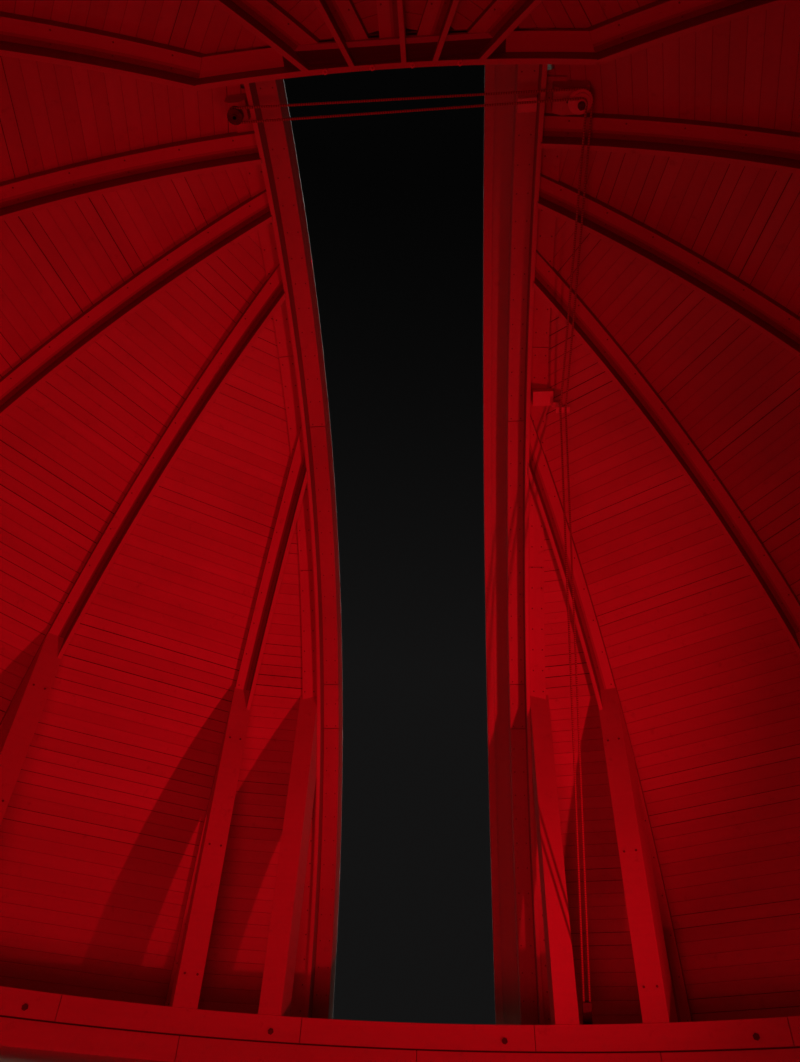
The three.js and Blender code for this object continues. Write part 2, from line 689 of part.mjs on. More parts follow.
function door() {
  const outY = -wallApothem + 10 + DOOR_SET_BACK;
  const half = DOORWAY_HALF - FRAME_WIDTH - 2 * SEAT;
  return block([-half, half], [outY, outY + DOOR_THICK], [FLOOR_TOP + SEAT, DOORWAY_TOP - FRAME_WIDTH - 2 * SEAT]);
}

function floorSlab() {
  return prism(wallOutline(wallInR - SEAT * 1.1), 0, FLOOR_TOP);
}

function ringPlate() {
  const inner = prism(wallOutline(wallInR + 6), PLATE_TOP - 100, PLATE_TOP + 10);
  return prism(wallOutline(WALL_OUT_R - 10), WALL_TOP + SEAT, PLATE_TOP).subtract(inner);
}

function track() {
  const low = PLATE_TOP + SEAT;
  const outer = prism(polygon(ROUND_SEGMENTS, TRACK_R + TRACK_HALF_WIDTH), low, trackTop);
  return outer.subtract(prism(polygon(ROUND_SEGMENTS, TRACK_R - TRACK_HALF_WIDTH), low - 10, trackTop + 10));
}

// Assembly

const CREAM = 0xe9e2d0;
const BOARD = 0xe4dcc8;
const COVER = 0xd7dad8;
const STEEL = 0x5a5d60;
const ROPE = 0xc9b78f;
const FLOOR_WOOD = 0x9a7a55;
const DOOR_PAINT = 0x5f6f66;

const dome = new THREE.Group();
dome.name = 'observatory_dome';

function addMesh(name, solid, color, roughness = 0.7, metalness = 0) {
  const mesh = solid.getMesh();
  const geometry = new THREE.BufferGeometry();
  geometry.setAttribute('position', new THREE.BufferAttribute(new Float32Array(mesh.vertProperties), 3));
  geometry.setIndex(new THREE.BufferAttribute(new Uint32Array(mesh.triVerts), 1));
  const material = new THREE.MeshStandardMaterial({ color, roughness, metalness });
  const part = new THREE.Mesh(geometry, material);
  part.name = name;
  dome.add(part);
}

addMesh('floor', floorSlab(), FLOOR_WOOD);
addMesh('wall_left', wallPart(180 + HALF_SIDE, 360 - 2.5 * SIDE_ANGLE), CREAM);
addMesh('wall_front', wallPart(-2.5 * SIDE_ANGLE, 2.5 * SIDE_ANGLE), CREAM);
addMesh('wall_right', wallPart(2.5 * SIDE_ANGLE, 180 - HALF_SIDE), CREAM);
addMesh('wall_door_side', doorWall(), CREAM);
addMesh('door_frame', doorFrame(), CREAM);
addMesh('door', door(), DOOR_PAINT);
addMesh('wall_plate', ringPlate(), BOARD);
addMesh('track_rail', track(), STEEL, 0.5, 1);

addMesh('dome_ring', domeRing(), BOARD);
addMesh('dome_skirt', skirt(), COVER);
for (const [name, side] of [['right', 1], ['left', -1]]) {
  for (let k = 1; k <= 4; k += 1) {
    addMesh(`rib_${name}_${k}`, rib(side * k * SIDE_ANGLE, side * 90, ARCH_OUT_X), BOARD);
  }
  addMesh(`rib_${name}_5`, rib(side * HEADER_RIB_AZIMUTH, side * HEADER_RIB_AZIMUTH, headerEnd), BOARD);
  for (let k = 6; k <= 7; k += 1) {
    addMesh(`rib_${name}_${k}`, rib(side * k * SIDE_ANGLE, 180, -headerRearY), BOARD);
  }
  addMesh(`arch_${name}`, arch(side), BOARD);
  const bounds = [0, 45, 112.5, 180];
  ['front', 'middle', 'rear'].forEach((place, k) => {
    const [from, to] = side > 0 ? [bounds[k], bounds[k + 1]] : [-bounds[k + 1], -bounds[k]];
    addMesh(`shell_${name}_${place}`, shellPanel(from, to), COVER);
  });
}
addMesh('rib_rear', rib(180, 180, -headerRearY), BOARD);
addMesh('header', header(), BOARD);
addMesh('shutter_rail_upper', upperRail(), STEEL, 0.5, 1);
addMesh('shutter_rail_lower', lowerRail(), STEEL, 0.5, 1);
addMesh('leaf_right', leaf(1, LEAF_RIGHT_X), COVER);
addMesh('leaf_left', leaf(-1, LEAF_LEFT_X), COVER);
addMesh('pulley_block_left', leftBlock(), STEEL, 0.5, 1);
addMesh('pulley_block_right', rightBlock(), STEEL, 0.5, 1);
addMesh('rope_guide_box', guideBox(), CREAM);
addMesh('rope_foot_pulley', footPulley(), STEEL, 0.5, 1);
addMesh('shutter_rope', closedTube(ropeRoute(), ROPE_R, ROPE_SIDES), ROPE, 0.9);

export default dome;
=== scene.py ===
import random
from math import acos, asin, ceil, cos, degrees, pi, radians, sin, sqrt, tan

import bmesh
import bpy
from mathutils import Matrix, Vector


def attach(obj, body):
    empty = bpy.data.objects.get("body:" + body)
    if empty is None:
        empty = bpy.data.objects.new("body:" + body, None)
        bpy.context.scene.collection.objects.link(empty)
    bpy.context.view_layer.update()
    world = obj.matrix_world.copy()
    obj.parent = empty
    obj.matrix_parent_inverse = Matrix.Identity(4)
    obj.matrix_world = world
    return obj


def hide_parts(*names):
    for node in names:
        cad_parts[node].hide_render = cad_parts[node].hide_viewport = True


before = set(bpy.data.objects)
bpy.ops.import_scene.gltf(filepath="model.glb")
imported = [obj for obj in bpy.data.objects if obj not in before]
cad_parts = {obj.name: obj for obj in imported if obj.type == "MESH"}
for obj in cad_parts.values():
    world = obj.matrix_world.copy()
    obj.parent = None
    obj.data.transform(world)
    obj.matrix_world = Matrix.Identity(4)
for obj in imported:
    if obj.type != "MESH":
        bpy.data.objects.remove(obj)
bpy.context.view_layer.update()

# Metres and degrees, in the part's frame: origin on the ground at the centre, slit towards +Y,
# azimuths from +Y to +X.
RANDOM = random.Random(41)

# Camera, inside the room, looking up at the slit
CAMERA_AT = (0.2495, -1.5075, 1.7714)
CAMERA_YAW = -5.929
CAMERA_PITCH = 40.168
CAMERA_ROLL = 2.817
CAMERA_LENS = 26.19
CAMERA_SENSOR = 36
CAMERA_RANGE = (0.05, 200)

# Whole dome
R = 3.5
CENTRE_Z = 2.0
SIDES = 16
SIDE_ANGLE = 360 / SIDES
HALF_SIDE = SIDE_ANGLE / 2
FLAT = cos(radians(HALF_SIDE))
SLOPE = tan(radians(HALF_SIDE))
SHELL_THICK = 0.045
SHELL_OUT_R = R + SHELL_THICK
SEAT = 0.0003
STEP = 2.5

# Lining boards, one joint in five a wide one
COURSE = 1.045
COURSES = 81
JOINT_DEPTH = 0.003
JOINT_WIDTH = 0.0011
WIDE_JOINTS = 0.2
BOARD_CLIP = (0.652, -0.375)

# Covering: lapped sheets, with a roll over each joint between gores
SHEET_LAP = 0.004
SHEET_EDGE = 0.003
SHEET_PITCH = 9.4
SHEET_LENGTH = 9.35
SHEET_TOP = 89.9
SHEET_CLIP = (BOARD_CLIP[0] - 0.005, BOARD_CLIP[1] - 0.008)
ROLL = [(-0.022, 0), (-0.016, 0.010), (0, 0.015), (0.016, 0.010), (0.022, 0)]
ROLL_SINK = 0.004
ROLL_OFF_SLIT = 0.008
ROLL_OFF_CURB = 0.006
EDGE_BOARD_SECTION = [(0.006, 0.0), (0.006, 0.05), (SHELL_THICK, 0.05), (SHELL_THICK + 0.004, 0.0)]

# Ribs, posts, arches, header: a plank, and beside it a thin board on edge
RIB_HALF = 0.055
PLANK_R = 3.450
RIB_IN_R = 3.380
EDGE_BOARD = 0.022
PLANK_GAP = 0.0008
# Painted shade across the plank beside the thin board: a half-dark strip from this far from the board, a
# dark one from the next.
PAINTED_HALF_SHADE_REACH = 0.036
PAINTED_SHADE_REACH = 0.024
RIB_INTO_ARCH = 0.006
RIB_INTO_HEADER = 0.004
RIB_NAILS = 18
RIB_NAIL_SIDE = 0.026
NAIL_HEAD = (0.0042, 0.0012)
POST_IN_R = 2.802
POST_DEPTH = 0.22
POST_TOP_R = 3.455
POST_HALF = 0.058
POST_NAIL_HEIGHTS = (0.5, 1.1, 1.7)
POST_NAIL_SIDE = 0.03
RING_TOP = 0.359
ARCH_IN_X = 0.526
ARCH_OUT_X = 0.640
ARCH_PLANK_R = 3.444
ARCH_IN_R = 3.335
ARCH_TOP_R = 3.590
ARCH_NAILS = 40
ARCH_NAIL_INSET = (0.018, 0.02)
ARCH_POST_TOP_R = 3.395
ARCH_POST_REAR_TOP = 1.70
ARCH_BLOCK_X = (0.531, 0.614)
ARCH_BLOCK_R = 3.412
ARCH_BLOCK_THETA = (91.1, 92.1)
HEADER_FRONT_Y = -0.289
HEADER_REAR_Y = -0.389
HEADER_IN_R = 3.3676
HEADER_PLANK_R = 3.4376
HEADER_CORE_TOP_R = 3.462
HEADER_END = 0.8858
HEADER_RIB_AZIMUTH = 112.5
HEADER_STEPS = 20
HEADER_BOLT_X = (-0.29, -0.09, 0.08, 0.28)
HEADER_BOLT_INSET = 0.012
CURB_FOOT = 3.405
CURB_TOP = 3.564
CURB_CAP = 0.012
CURB_BOARD = 0.022
STRIP_WIDTH = 0.095
STRIP_THICK = 0.02
STRIP_SINK = 0.004
STRIP_ARC = (6.6, 93.5)
STRIP_BOARDS = 4
STRIP_NAIL_ARC = (8, 92, 2.1)
STRIP_NAIL_HEAD = (0.0045, 0.0015)

# Butt joints of the arches' lower and upper planks, as shares of their length
ARCH_JOINTS = ((0.0, 0.31, 0.36, 0.66, 1.0), (0.0, 0.18, 0.42, 0.66, 0.88, 1.0))

# Ring with its wheels, and skirt
RING_IN_R = 2.8
RING_OUT_R = 3.5617
RING_JOINT = 0.253
RING_BOTTOM = 0.150
RING_GAP = 0.0035
RING_END_GAP = 0.03
RING_BOLT_AZIMUTH = 30.9
RING_BOLT_HEIGHT = 0.294
TRACK_R = 3.2
TRACK_TOP = 2.0303
TRUCKS = 8
WHEEL_R = 0.055
WHEEL_RIM = ((-1, 0.96), (-0.9, 1.0), (0.9, 1.0), (1, 0.96))
TRUCK_PLATE = ((-0.075, 0), (-0.075, -0.03), (-0.035, -0.09), (0.035, -0.09), (0.075, -0.03), (0.075, 0))
TRUCK_PLATE_OUT = 0.032
SKIRT_IN_R = 3.562
SKIRT_BOTTOM = 1.9
SKIRT_SHEET = (0.001, 0.018)
SKIRT_STRAP = (0.017, 0.024)
SKIRT_STRAP_ANGLE = 0.87

# Shutter leaves
LEAF_WIDTH = 0.7
LEAF_STILE = 0.045
LEAF_STILE_R = 3.602
LEAF_PANEL_R = 3.620
LEAF_PANELS = 6
LEAF_OUT_R = 3.660
LEAF_SHEET = 0.004
LEAF_FOOT = 0.365
LEAF_END_Y = -0.48
LEAF_RIGHT_X = 0.393
LEAF_LEFT_X = 0.532
LEAF_BANDS = (0.004, 0.984, 1 / 7)
SHOE_LENGTH = 0.09
SHOE_BOXES = (((3.612, 3.643), (0.2903, 0.395)), ((-0.46, -0.424), (3.5623, 3.60)))

# Wall and floor
WALL_OUT_R = 3.4
WALL_THICK = 0.32
WALL_TOP = 1.95
APOTHEM = WALL_OUT_R * FLAT
WALL_IN_APOTHEM = APOTHEM - WALL_THICK
CLADDING = 0.014
CLADDING_STEP = 0.14
INSIDE_BOARD = 0.0638
PLINTH_TOP = 0.125
TRIM_WIDTH = 0.07
FLOOR_TOP = 0.1
FLOOR_BOARDS = 44
FLOOR_BOARD_THICK = 0.025

# Door
DOORWAY_HALF = 0.48
DOORWAY_TOP = 1.9
FRAME_WIDTH = 0.05
FRAME_DEPTH = 0.2
FRAME_OUT_Y = -APOTHEM + 0.01
FRAME_STOP = 0.015
SILL = 0.012
DOOR_THICK = 0.045
DOOR_SET_BACK = 0.035
DOOR_PLANKS = 6
DOOR_LEDGE = 0.13
PULL_HEIGHT = 0.92
PULL_RADIUS = 0.03

# Rope route, the same points as the solid's
ROPE_R = 0.005
ROPE_Z = CENTRE_Z + 3.3
ROPE_LEFT = (-0.7, -0.168, 0.03)
ROPE_RIGHT = (0.785, -0.14, 0.05, 0.022)
ROPE_GUIDE = (0.806, 1.29, 2.975)
ROPE_FOOT = (0.8, 2.76, 0.45)
STRAND_GAP = 0.028
LOWER_Z = ROPE_Z - STRAND_GAP
ROPE_TURN = 22.5
ROPE_STEP = 0.12

# Pulley blocks
SHEAVE = ((-1, 1.0), (-0.8, 1.03), (-0.45, 0.84), (0.45, 0.84), (0.8, 1.03), (1, 1.0))
SHEAVE_HALF = 0.007
BRACKET_RISE = 0.02
BRACKET_INSET = 0.25
BRACKET_SHOULDER = 0.3

# Red lamp, red light from the rest of the room, night sky
LAMP_COLOR = (1.0, 0.003, 0.014)
LAMP_AT = (1.65, 1.15, 1.40)
LAMP_AZIMUTH = -60
LAMP_ELEVATION = 51
LAMP_SPREAD = 82
LAMP_POWER = 185
FILL_AT = (-0.3, -0.9, 0.9)
FILL_TOWARD = (-0.48, 0.74, 0.48)
FILL_SIZE = 1.4
FILL_POWER = 36
SKY_LOW = (0.0065, 0.0063, 0.0063, 1)
SKY_HIGH = (0.0012, 0.0012, 0.0012, 1)

# Studio lights as place, size and power; those in front don't reach the stage floor
STUDIO_TARGET = (0, 0, 2.4)
STUDIO_LIGHTS = (((15, -7, 7.5), 7, 1300), ((-15, -4, 6.5), 8, 1000), ((-3, -17, 6), 8, 650))
STUDIO_FRONT_LIGHTS = (((13, 11, 4.5), 7, 650), ((-13, 11, 4.5), 7, 550))
STAGE_SIZE = 80

# Pieces that the studio lights reach
OUTSIDE = []


# Camera

def add(name, data):
    made = bpy.data.objects.new(name, data)
    bpy.context.scene.collection.objects.link(made)
    return made


def look_frame():
    yaw, pitch, roll = (radians(v) for v in (CAMERA_YAW, CAMERA_PITCH, CAMERA_ROLL))
    forward = Vector((sin(yaw) * cos(pitch), cos(yaw) * cos(pitch), sin(pitch)))
    level = Vector((cos(yaw), -sin(yaw), 0))
    upright = level.cross(forward)
    right = level * cos(roll) + upright * sin(roll)
    up = upright * cos(roll) - level * sin(roll)
    return Matrix((right, up, -forward)).transposed()


def make_camera():
    data = bpy.data.cameras.new("camera")
    data.lens = CAMERA_LENS
    data.sensor_width = CAMERA_SENSOR
    data.clip_start, data.clip_end = CAMERA_RANGE
    camera = add("camera", data)
    camera.matrix_world = Matrix.Translation(CAMERA_AT) @ look_frame().to_4x4()
    bpy.context.scene.camera = camera


make_camera()


# Materials

def rgb(r, g, b):
    return (r, g, b, 1)


def grey(value):
    return (value, value, value, 1)


class Shader:
    """The nodes of a material or of the sky, with short calls for the few kinds that are used."""

    def __init__(self, owner):
        owner.use_nodes = True
        self.owner = owner
        self.tree = owner.node_tree

    def feed(self, socket, value):
        if isinstance(value, bpy.types.NodeSocket):
            self.tree.links.new(value, socket)
        else:
            socket.default_value = value

    def surface(self, name, value):
        """One setting of the surface, from a pattern or the same all over."""
        self.feed(self.tree.nodes["Principled BSDF"].inputs[name], value)

    def gloss(self, pattern, low, high, smooth, dull):
        self.surface("Roughness", self.ramp(pattern, low, high, grey(smooth), grey(dull)))

    def node(self, kind, inputs, output=0, **settings):
        made = self.tree.nodes.new("ShaderNode" + kind)
        for name, value in settings.items():
            setattr(made, name, value)
        for name, value in inputs.items():
            self.feed(made.inputs[name], value)
        return made.outputs[output]

    def times(self, a, b):
        return self.node("Math", {0: a, 1: b}, operation="MULTIPLY")

    def plus(self, a, b):
        return self.node("Math", {0: a, 1: b}, operation="ADD")

    def mix(self, factor, a, b):
        return self.node("Mix", {0: factor, 6: a, 7: b}, 2, data_type="RGBA")

    def ramp(self, factor, low, high, first=grey(0), last=grey(1)):
        made = self.tree.nodes.new("ShaderNodeValToRGB")
        for element, position, color in zip(made.color_ramp.elements, (low, high), (first, last)):
            element.position = position
            element.color = color
        self.feed(made.inputs[0], factor)
        return made.outputs[0]

    def stain(self, base, dirt, pattern, low, high, amount):
        """Dirt over the base where the pattern is high."""
        return self.mix(self.times(self.ramp(pattern, low, high), amount), base, dirt)

    def place(self, space="Object"):
        return self.node("TexCoord", {}, space)

    def tone(self):
        return self.node("Attribute", {}, "Fac", attribute_name="tone")

    def noise(self, vector, scale, detail, rough, seed=None):
        inputs = {"Vector": vector, "Scale": scale, "Detail": detail, "Roughness": rough}
        if seed is None:
            return self.node("TexNoise", inputs)
        return self.node("TexNoise", {**inputs, "W": seed}, noise_dimensions="4D")

    def scaled(self, scale):
        """The grain coordinates, stretched."""
        return self.node("Mapping", {"Vector": self.place("UV"), "Scale": scale})

    def bump(self, height, distance, strength):
        normal = self.node("Bump", {"Strength": strength, "Distance": distance, "Height": height})
        self.surface("Normal", normal)


def new_finish(name):
    return Shader(bpy.data.materials.new(name))


def painted_boards(name, light, shade, dirt, wear=0.62):
    """Old oil paint on boards: tone from board to board, brush lines along the grain, dirt in patches."""
    s = new_finish(name)
    grain = s.noise(s.scaled((1.2, 38, 1)), 1.0, 5, 0.6, s.times(s.tone(), 37.0))
    patches = s.noise(s.place(), 1.3, 5, 0.6)
    fine = s.noise(s.place(), 16, 4, 0.65)
    base = s.mix(s.tone(), shade, light)
    base = s.mix(s.ramp(grain, 0.3, 0.75), base, s.mix(0.14, base, dirt))
    base = s.stain(base, dirt, patches, 0.48, 0.78, 0.34)
    base = s.stain(base, dirt, fine, wear, wear + 0.12, 0.4)
    s.surface("Base Color", base)
    s.gloss(grain, 0.2, 0.8, 0.46, 0.68)
    s.bump(s.plus(grain, s.times(fine, 0.5)), 0.0012, 0.5)
    return s.owner


def bare_timber(name, light, dark, seed_scale=29.0):
    """Oiled or worn wood with long grain, growth lines and darker streaks."""
    s = new_finish(name)
    seed = s.times(s.tone(), seed_scale)
    grain = s.noise(s.scaled((1.6, 60, 1)), 1.0, 6, 0.62, seed)
    streaks = s.noise(s.scaled((0.5, 9, 1)), 1.0, 3, 0.5, seed)
    blotch = s.noise(s.place(), 3.0, 4, 0.6)
    base = s.mix(s.ramp(grain, 0.32, 0.7), dark, light)
    base = s.stain(base, dark, streaks, 0.4, 0.7, 0.45)
    base = s.mix(s.times(s.tone(), 0.25), base, light)
    s.surface("Base Color", s.stain(base, dark, blotch, 0.5, 0.75, 0.35))
    s.gloss(streaks, 0.3, 0.8, 0.42, 0.7)
    s.bump(grain, 0.0015, 0.6)
    return s.owner


def sheet_covering(name, light, shade, rust):
    """Painted sheet metal: tone from sheet to sheet, rain streaks, rust breaking through in specks."""
    s = new_finish(name)
    streaks = s.noise(s.scaled((0.8, 11, 1)), 1.0, 4, 0.6)
    patches = s.noise(s.place(), 0.9, 5, 0.6)
    specks = s.noise(s.place(), 9.0, 7, 0.7)
    dimples = s.noise(s.place(), 42.0, 3, 0.5)
    base = s.stain(s.mix(s.tone(), shade, light), shade, streaks, 0.5, 0.8, 0.35)
    base = s.stain(base, s.mix(0.5, shade, rust), patches, 0.5, 0.75, 0.3)
    rusted = s.times(s.ramp(specks, 0.66, 0.72), s.ramp(patches, 0.35, 0.6))
    s.surface("Base Color", s.mix(rusted, base, rust))
    s.gloss(specks, 0.5, 0.7, 0.36, 0.66)
    s.bump(s.plus(dimples, s.times(patches, 2.0)), 0.0015, 0.35)
    return s.owner


def worn_steel(name, paint, rust, metallic=0.55):
    """Dark painted ironwork with bare worn spots and rust."""
    s = new_finish(name)
    patches = s.noise(s.place(), 14, 6, 0.65)
    fine = s.noise(s.place(), 90, 3, 0.5)
    base = s.mix(s.ramp(patches, 0.5, 0.68), paint, rust)
    s.surface("Base Color", s.mix(s.times(fine, 0.25), base, rgb(0.35, 0.34, 0.33)))
    s.gloss(patches, 0.4, 0.7, 0.4, 0.8)
    s.surface("Metallic", metallic)
    s.bump(s.plus(patches, s.times(fine, 0.3)), 0.001, 0.5)
    return s.owner


def laid_rope(name, light, dark):
    """Three-strand rope: the lay runs slantwise round the tube."""
    s = new_finish(name)
    lay = s.node("TexWave", {"Vector": s.scaled((60, 3, 1)), "Scale": 1.0}, 1, bands_direction="DIAGONAL")
    fibres = s.noise(s.place(), 260, 3, 0.6)
    # Darker where the lay is low, down between the strands as the bump has it: painted shade in the grooves.
    s.surface("Base Color", s.mix(s.times(lay, s.plus(fibres, 0.3)), dark, light))
    s.surface("Roughness", 0.85)
    s.bump(lay, 0.002, 0.9)
    return s.owner


def paint(name, *colors, **settings):
    """Painted boards in a light and a dark tone of the paint and the tone of its dirt."""
    return painted_boards(name, *(rgb(*color) for color in colors), **settings)


CREAM = paint("cream_paint", (0.68, 0.62, 0.50), (0.60, 0.54, 0.42), (0.30, 0.25, 0.18))
ARCH_PAINT = paint("arch_paint", (0.60, 0.54, 0.43), (0.50, 0.45, 0.35), (0.26, 0.22, 0.16))
# Painted shade: a dark copy of the cream paint for the sides of ribs, arches and header that lie in shade.
PAINTED_SHADE = paint("painted_shade_rib_sides", (0.33, 0.28, 0.21), (0.25, 0.21, 0.16), (0.14, 0.11, 0.08))
# Painted half shade, between the cream and the shade, for the soft edge of the shade on the ribs' planks.
PAINTED_HALF_SHADE = paint("painted_half_shade_strip", (0.50, 0.44, 0.34), (0.42, 0.36, 0.28), (0.22, 0.18, 0.13))
LIGHT_PAINT = paint("light_paint", (0.90, 0.85, 0.74), (0.84, 0.78, 0.66), (0.45, 0.38, 0.28))
TIMBER = bare_timber("plate_timber", rgb(0.24, 0.16, 0.105), rgb(0.12, 0.078, 0.05))
# Dark timber for cores and the sides of gaps; where it shows in joints and gaps it is painted shade.
GAP = bare_timber("joint_shadow", rgb(0.10, 0.075, 0.05), rgb(0.05, 0.037, 0.025))
JOINT = paint("board_joint", (0.44, 0.38, 0.29), (0.34, 0.29, 0.22), (0.18, 0.14, 0.10))
WALL_PAINT = paint("wall_paint", (0.70, 0.66, 0.56), (0.62, 0.58, 0.48), (0.33, 0.30, 0.23))
TRIM = paint("trim_paint", (0.66, 0.63, 0.55), (0.58, 0.55, 0.48), (0.28, 0.25, 0.20))
FLOORING = bare_timber("floor_boards", rgb(0.40, 0.29, 0.19), rgb(0.21, 0.145, 0.09), 53.0)
DOOR_PAINT = paint("door_paint", (0.17, 0.235, 0.20), (0.12, 0.175, 0.15), (0.26, 0.22, 0.16), wear=0.6)
COVER = sheet_covering("dome_covering", rgb(0.62, 0.64, 0.62), rgb(0.48, 0.50, 0.49), rgb(0.30, 0.13, 0.05))
STEEL = worn_steel("dark_steel", rgb(0.07, 0.072, 0.075), rgb(0.20, 0.085, 0.035))
NAIL = worn_steel("nail_heads", rgb(0.16, 0.14, 0.12), rgb(0.22, 0.10, 0.05), 0.3)
ROPE = laid_rope("laid_rope", rgb(0.62, 0.52, 0.36), rgb(0.22, 0.17, 0.10))


# Mesh builder

def turn(angle):
    return cos(radians(angle)), sin(radians(angle))


def rectangle(a0, a1, b0, b1):
    return [(a0, b0), (a1, b0), (a1, b1), (a0, b1)]


def round_edges(piece, width, angle):
    edge = piece.modifiers.new("edges", "BEVEL")
    edge.width = width
    edge.segments = 2
    edge.limit_method = "ANGLE"
    edge.angle_limit = radians(angle)


class Build:
    """Collects solids with a material, a tone and grain coordinates for each face, then makes one object."""

    def __init__(self, name):
        self.name = name
        self.points = []
        self.faces = []
        self.materials = []

    def face(self, corners, material, tone, grain):
        if material not in self.materials:
            self.materials.append(material)
        self.faces.append((corners, self.materials.index(material), tone, grain))

    def sweep(self, section, stations, place, material, tone=None, closed=False):
        """A section carried along stations. material is one, or one for each edge of the section."""
        tone = RANDOM.random() if tone is None else tone
        count = len(section)
        materials = material if isinstance(material, list) else [material] * count
        start = len(self.points)
        rows = [[place(a, b, station) for a, b in section] for station in stations]
        for row in rows:
            self.points.extend(row)
        lengths = [0.0]
        for before, after in zip(rows, rows[1:] + rows[:1]):
            lengths.append(lengths[-1] + (after[0] - before[0]).length)
        around = [0.0]
        for before, after in zip(rows[0], rows[0][1:] + rows[0][:1]):
            around.append(around[-1] + (after - before).length)
        last = len(rows) if closed else len(rows) - 1
        for k in range(last):
            low = start + k * count
            high = start + ((k + 1) % len(rows)) * count
            for i in range(count):
                j = (i + 1) % count
                grain = [(lengths[k], around[i]), (lengths[k], around[i + 1]),
                         (lengths[k + 1], around[i + 1]), (lengths[k + 1], around[i])]
                self.face([low + i, low + j, high + j, high + i], materials[i], tone, grain)
        if not closed:
            ends = [(a * 0.2, b) for a, b in section]
            for end in (start, start + last * count):
                self.face([end + i for i in range(count)], materials[0], tone, ends)

    def block(self, x, y, z, material, tone=None, length="x"):
        """A box between two limits on each axis, its grain along the named axis."""
        limits = {"x": x, "y": y, "z": z}
        first, second = (axis for axis in "xyz" if axis != length)

        def place(a, b, run):
            spot = {first: a, second: b, length: run}
            return Vector((spot["x"], spot["y"], spot["z"]))

        section = rectangle(*limits[first], *limits[second])
        self.sweep(section, limits[length], place, material, tone)

    def turned(self, centre, axis, radius, half, material, sides=16, profile=((-1, 1), (1, 1))):
        """A round piece on an axis through a centre. profile lists (share of half, share of radius)."""
        axis = Vector(axis).normalized()
        side = axis.orthogonal().normalized()
        up = axis.cross(side)

        def place(a, b, step):
            run, share = profile[step]
            return Vector(centre) + axis * run * half + (side * a + up * b) * radius * share

        self.sweep([turn(360 * i / sides) for i in range(sides)], range(len(profile)), place, material, 0.5)

    def finish(self, body, nodes, slot="painted_boards", bevel=0.0, smooth=35, outside=False):
        mesh = bpy.data.meshes.new(self.name)
        mesh.from_pydata(self.points, [], [face[0] for face in self.faces])
        mesh.validate()
        for material in self.materials:
            mesh.materials.append(material)
        layer = mesh.uv_layers.new(name="grain")
        tones = mesh.attributes.new("tone", "FLOAT", "FACE")
        for k, (polygon, (_, index, tone, grain)) in enumerate(zip(mesh.polygons, self.faces)):
            polygon.material_index = index
            tones.data[k].value = tone
            for corner, spot in zip(polygon.loop_indices, grain):
                layer.data[corner].uv = spot
        shell = bmesh.new()
        shell.from_mesh(mesh)
        bmesh.ops.recalc_face_normals(shell, faces=shell.faces)
        shell.to_mesh(mesh)
        shell.free()
        mesh.shade_smooth()
        mesh.set_sharp_from_angle(angle=radians(smooth))
        piece = add(self.name, mesh)
        if bevel:
            round_edges(piece, bevel, 40)
        if outside:
            OUTSIDE.append(piece)
        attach(piece, body)
        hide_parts(*nodes)


# Places on the dome and the building

def along(azimuth, distance, side=0.0):
    cosine, sine = turn(azimuth)
    return distance * sine + side * cosine, distance * cosine - side * sine


def point(azimuth, reach, z, side=0.0):
    return Vector((*along(azimuth, reach, side), z))


def dome_point(azimuth, radius, theta, side=0.0, slope=0.0):
    """A point on a sphere about the dome's centre, moved aside and inwards."""
    cosine, sine = turn(theta)
    return point(azimuth, radius * cosine - slope, CENTRE_Z + radius * sine, side)


def arc_point(x, radius, theta):
    """A point on an arc about the X axis through the dome's centre."""
    cosine, sine = turn(theta)
    return Vector((x, radius * cosine, CENTRE_Z + radius * sine))


def side_place(azimuth):
    def place(out, height, side):
        return point(azimuth, out, height, side)

    return place


def spread(first, last, step):
    count = max(1, ceil(abs(last - first) / step - 1e-6))
    return [first + (last - first) * k / count for k in range(count + 1)]


def shares(span, step=STEP):
    return spread(0.0, 1.0, step / max(span, step))


def courses(low, high, step):
    """Limits of level boards of one height, the last one cut to fit."""
    made = []
    while low < high - 0.005:
        made.append((low, min(low + step, high)))
        low = made[-1][1]
    return made


def foot_angle(radius):
    return degrees(asin(RING_TOP / radius))


# Board lining and covering of the dome

def gore_line(k, theta, radius):
    return [dome_point(a * SIDE_ANGLE, radius, theta) for a in (k, k + 1)]


def outside_slit(ends, clip):
    """The shares of a level line that lie outside the slit."""
    clip_x, clip_y = clip
    start, stop = ends
    span = stop - start
    cuts = [0.0, 1.0]
    for value, axis in ((-clip_x, 0), (clip_x, 0), (clip_y, 1)):
        if abs(span[axis]) > 1e-9:
            share = (value - start[axis]) / span[axis]
            if 0 < share < 1:
                cuts.append(share)
    cuts.sort()
    kept = []
    for a, b in zip(cuts, cuts[1:]):
        middle = start + span * (a + b) / 2
        if not (abs(middle.x) < clip_x and middle.y > clip_y) and b - a > 1e-4:
            if kept and abs(kept[-1][1] - a) < 1e-9:
                kept[-1] = (kept[-1][0], b)
            else:
                kept.append((a, b))
    return kept


def add_lines(build, lines, first, last):
    """Points at two shares of each level line; gives the index of the first."""
    start = len(build.points)
    for begin, end in lines:
        build.points.extend([begin.lerp(end, first), begin.lerp(end, last)])
    return start


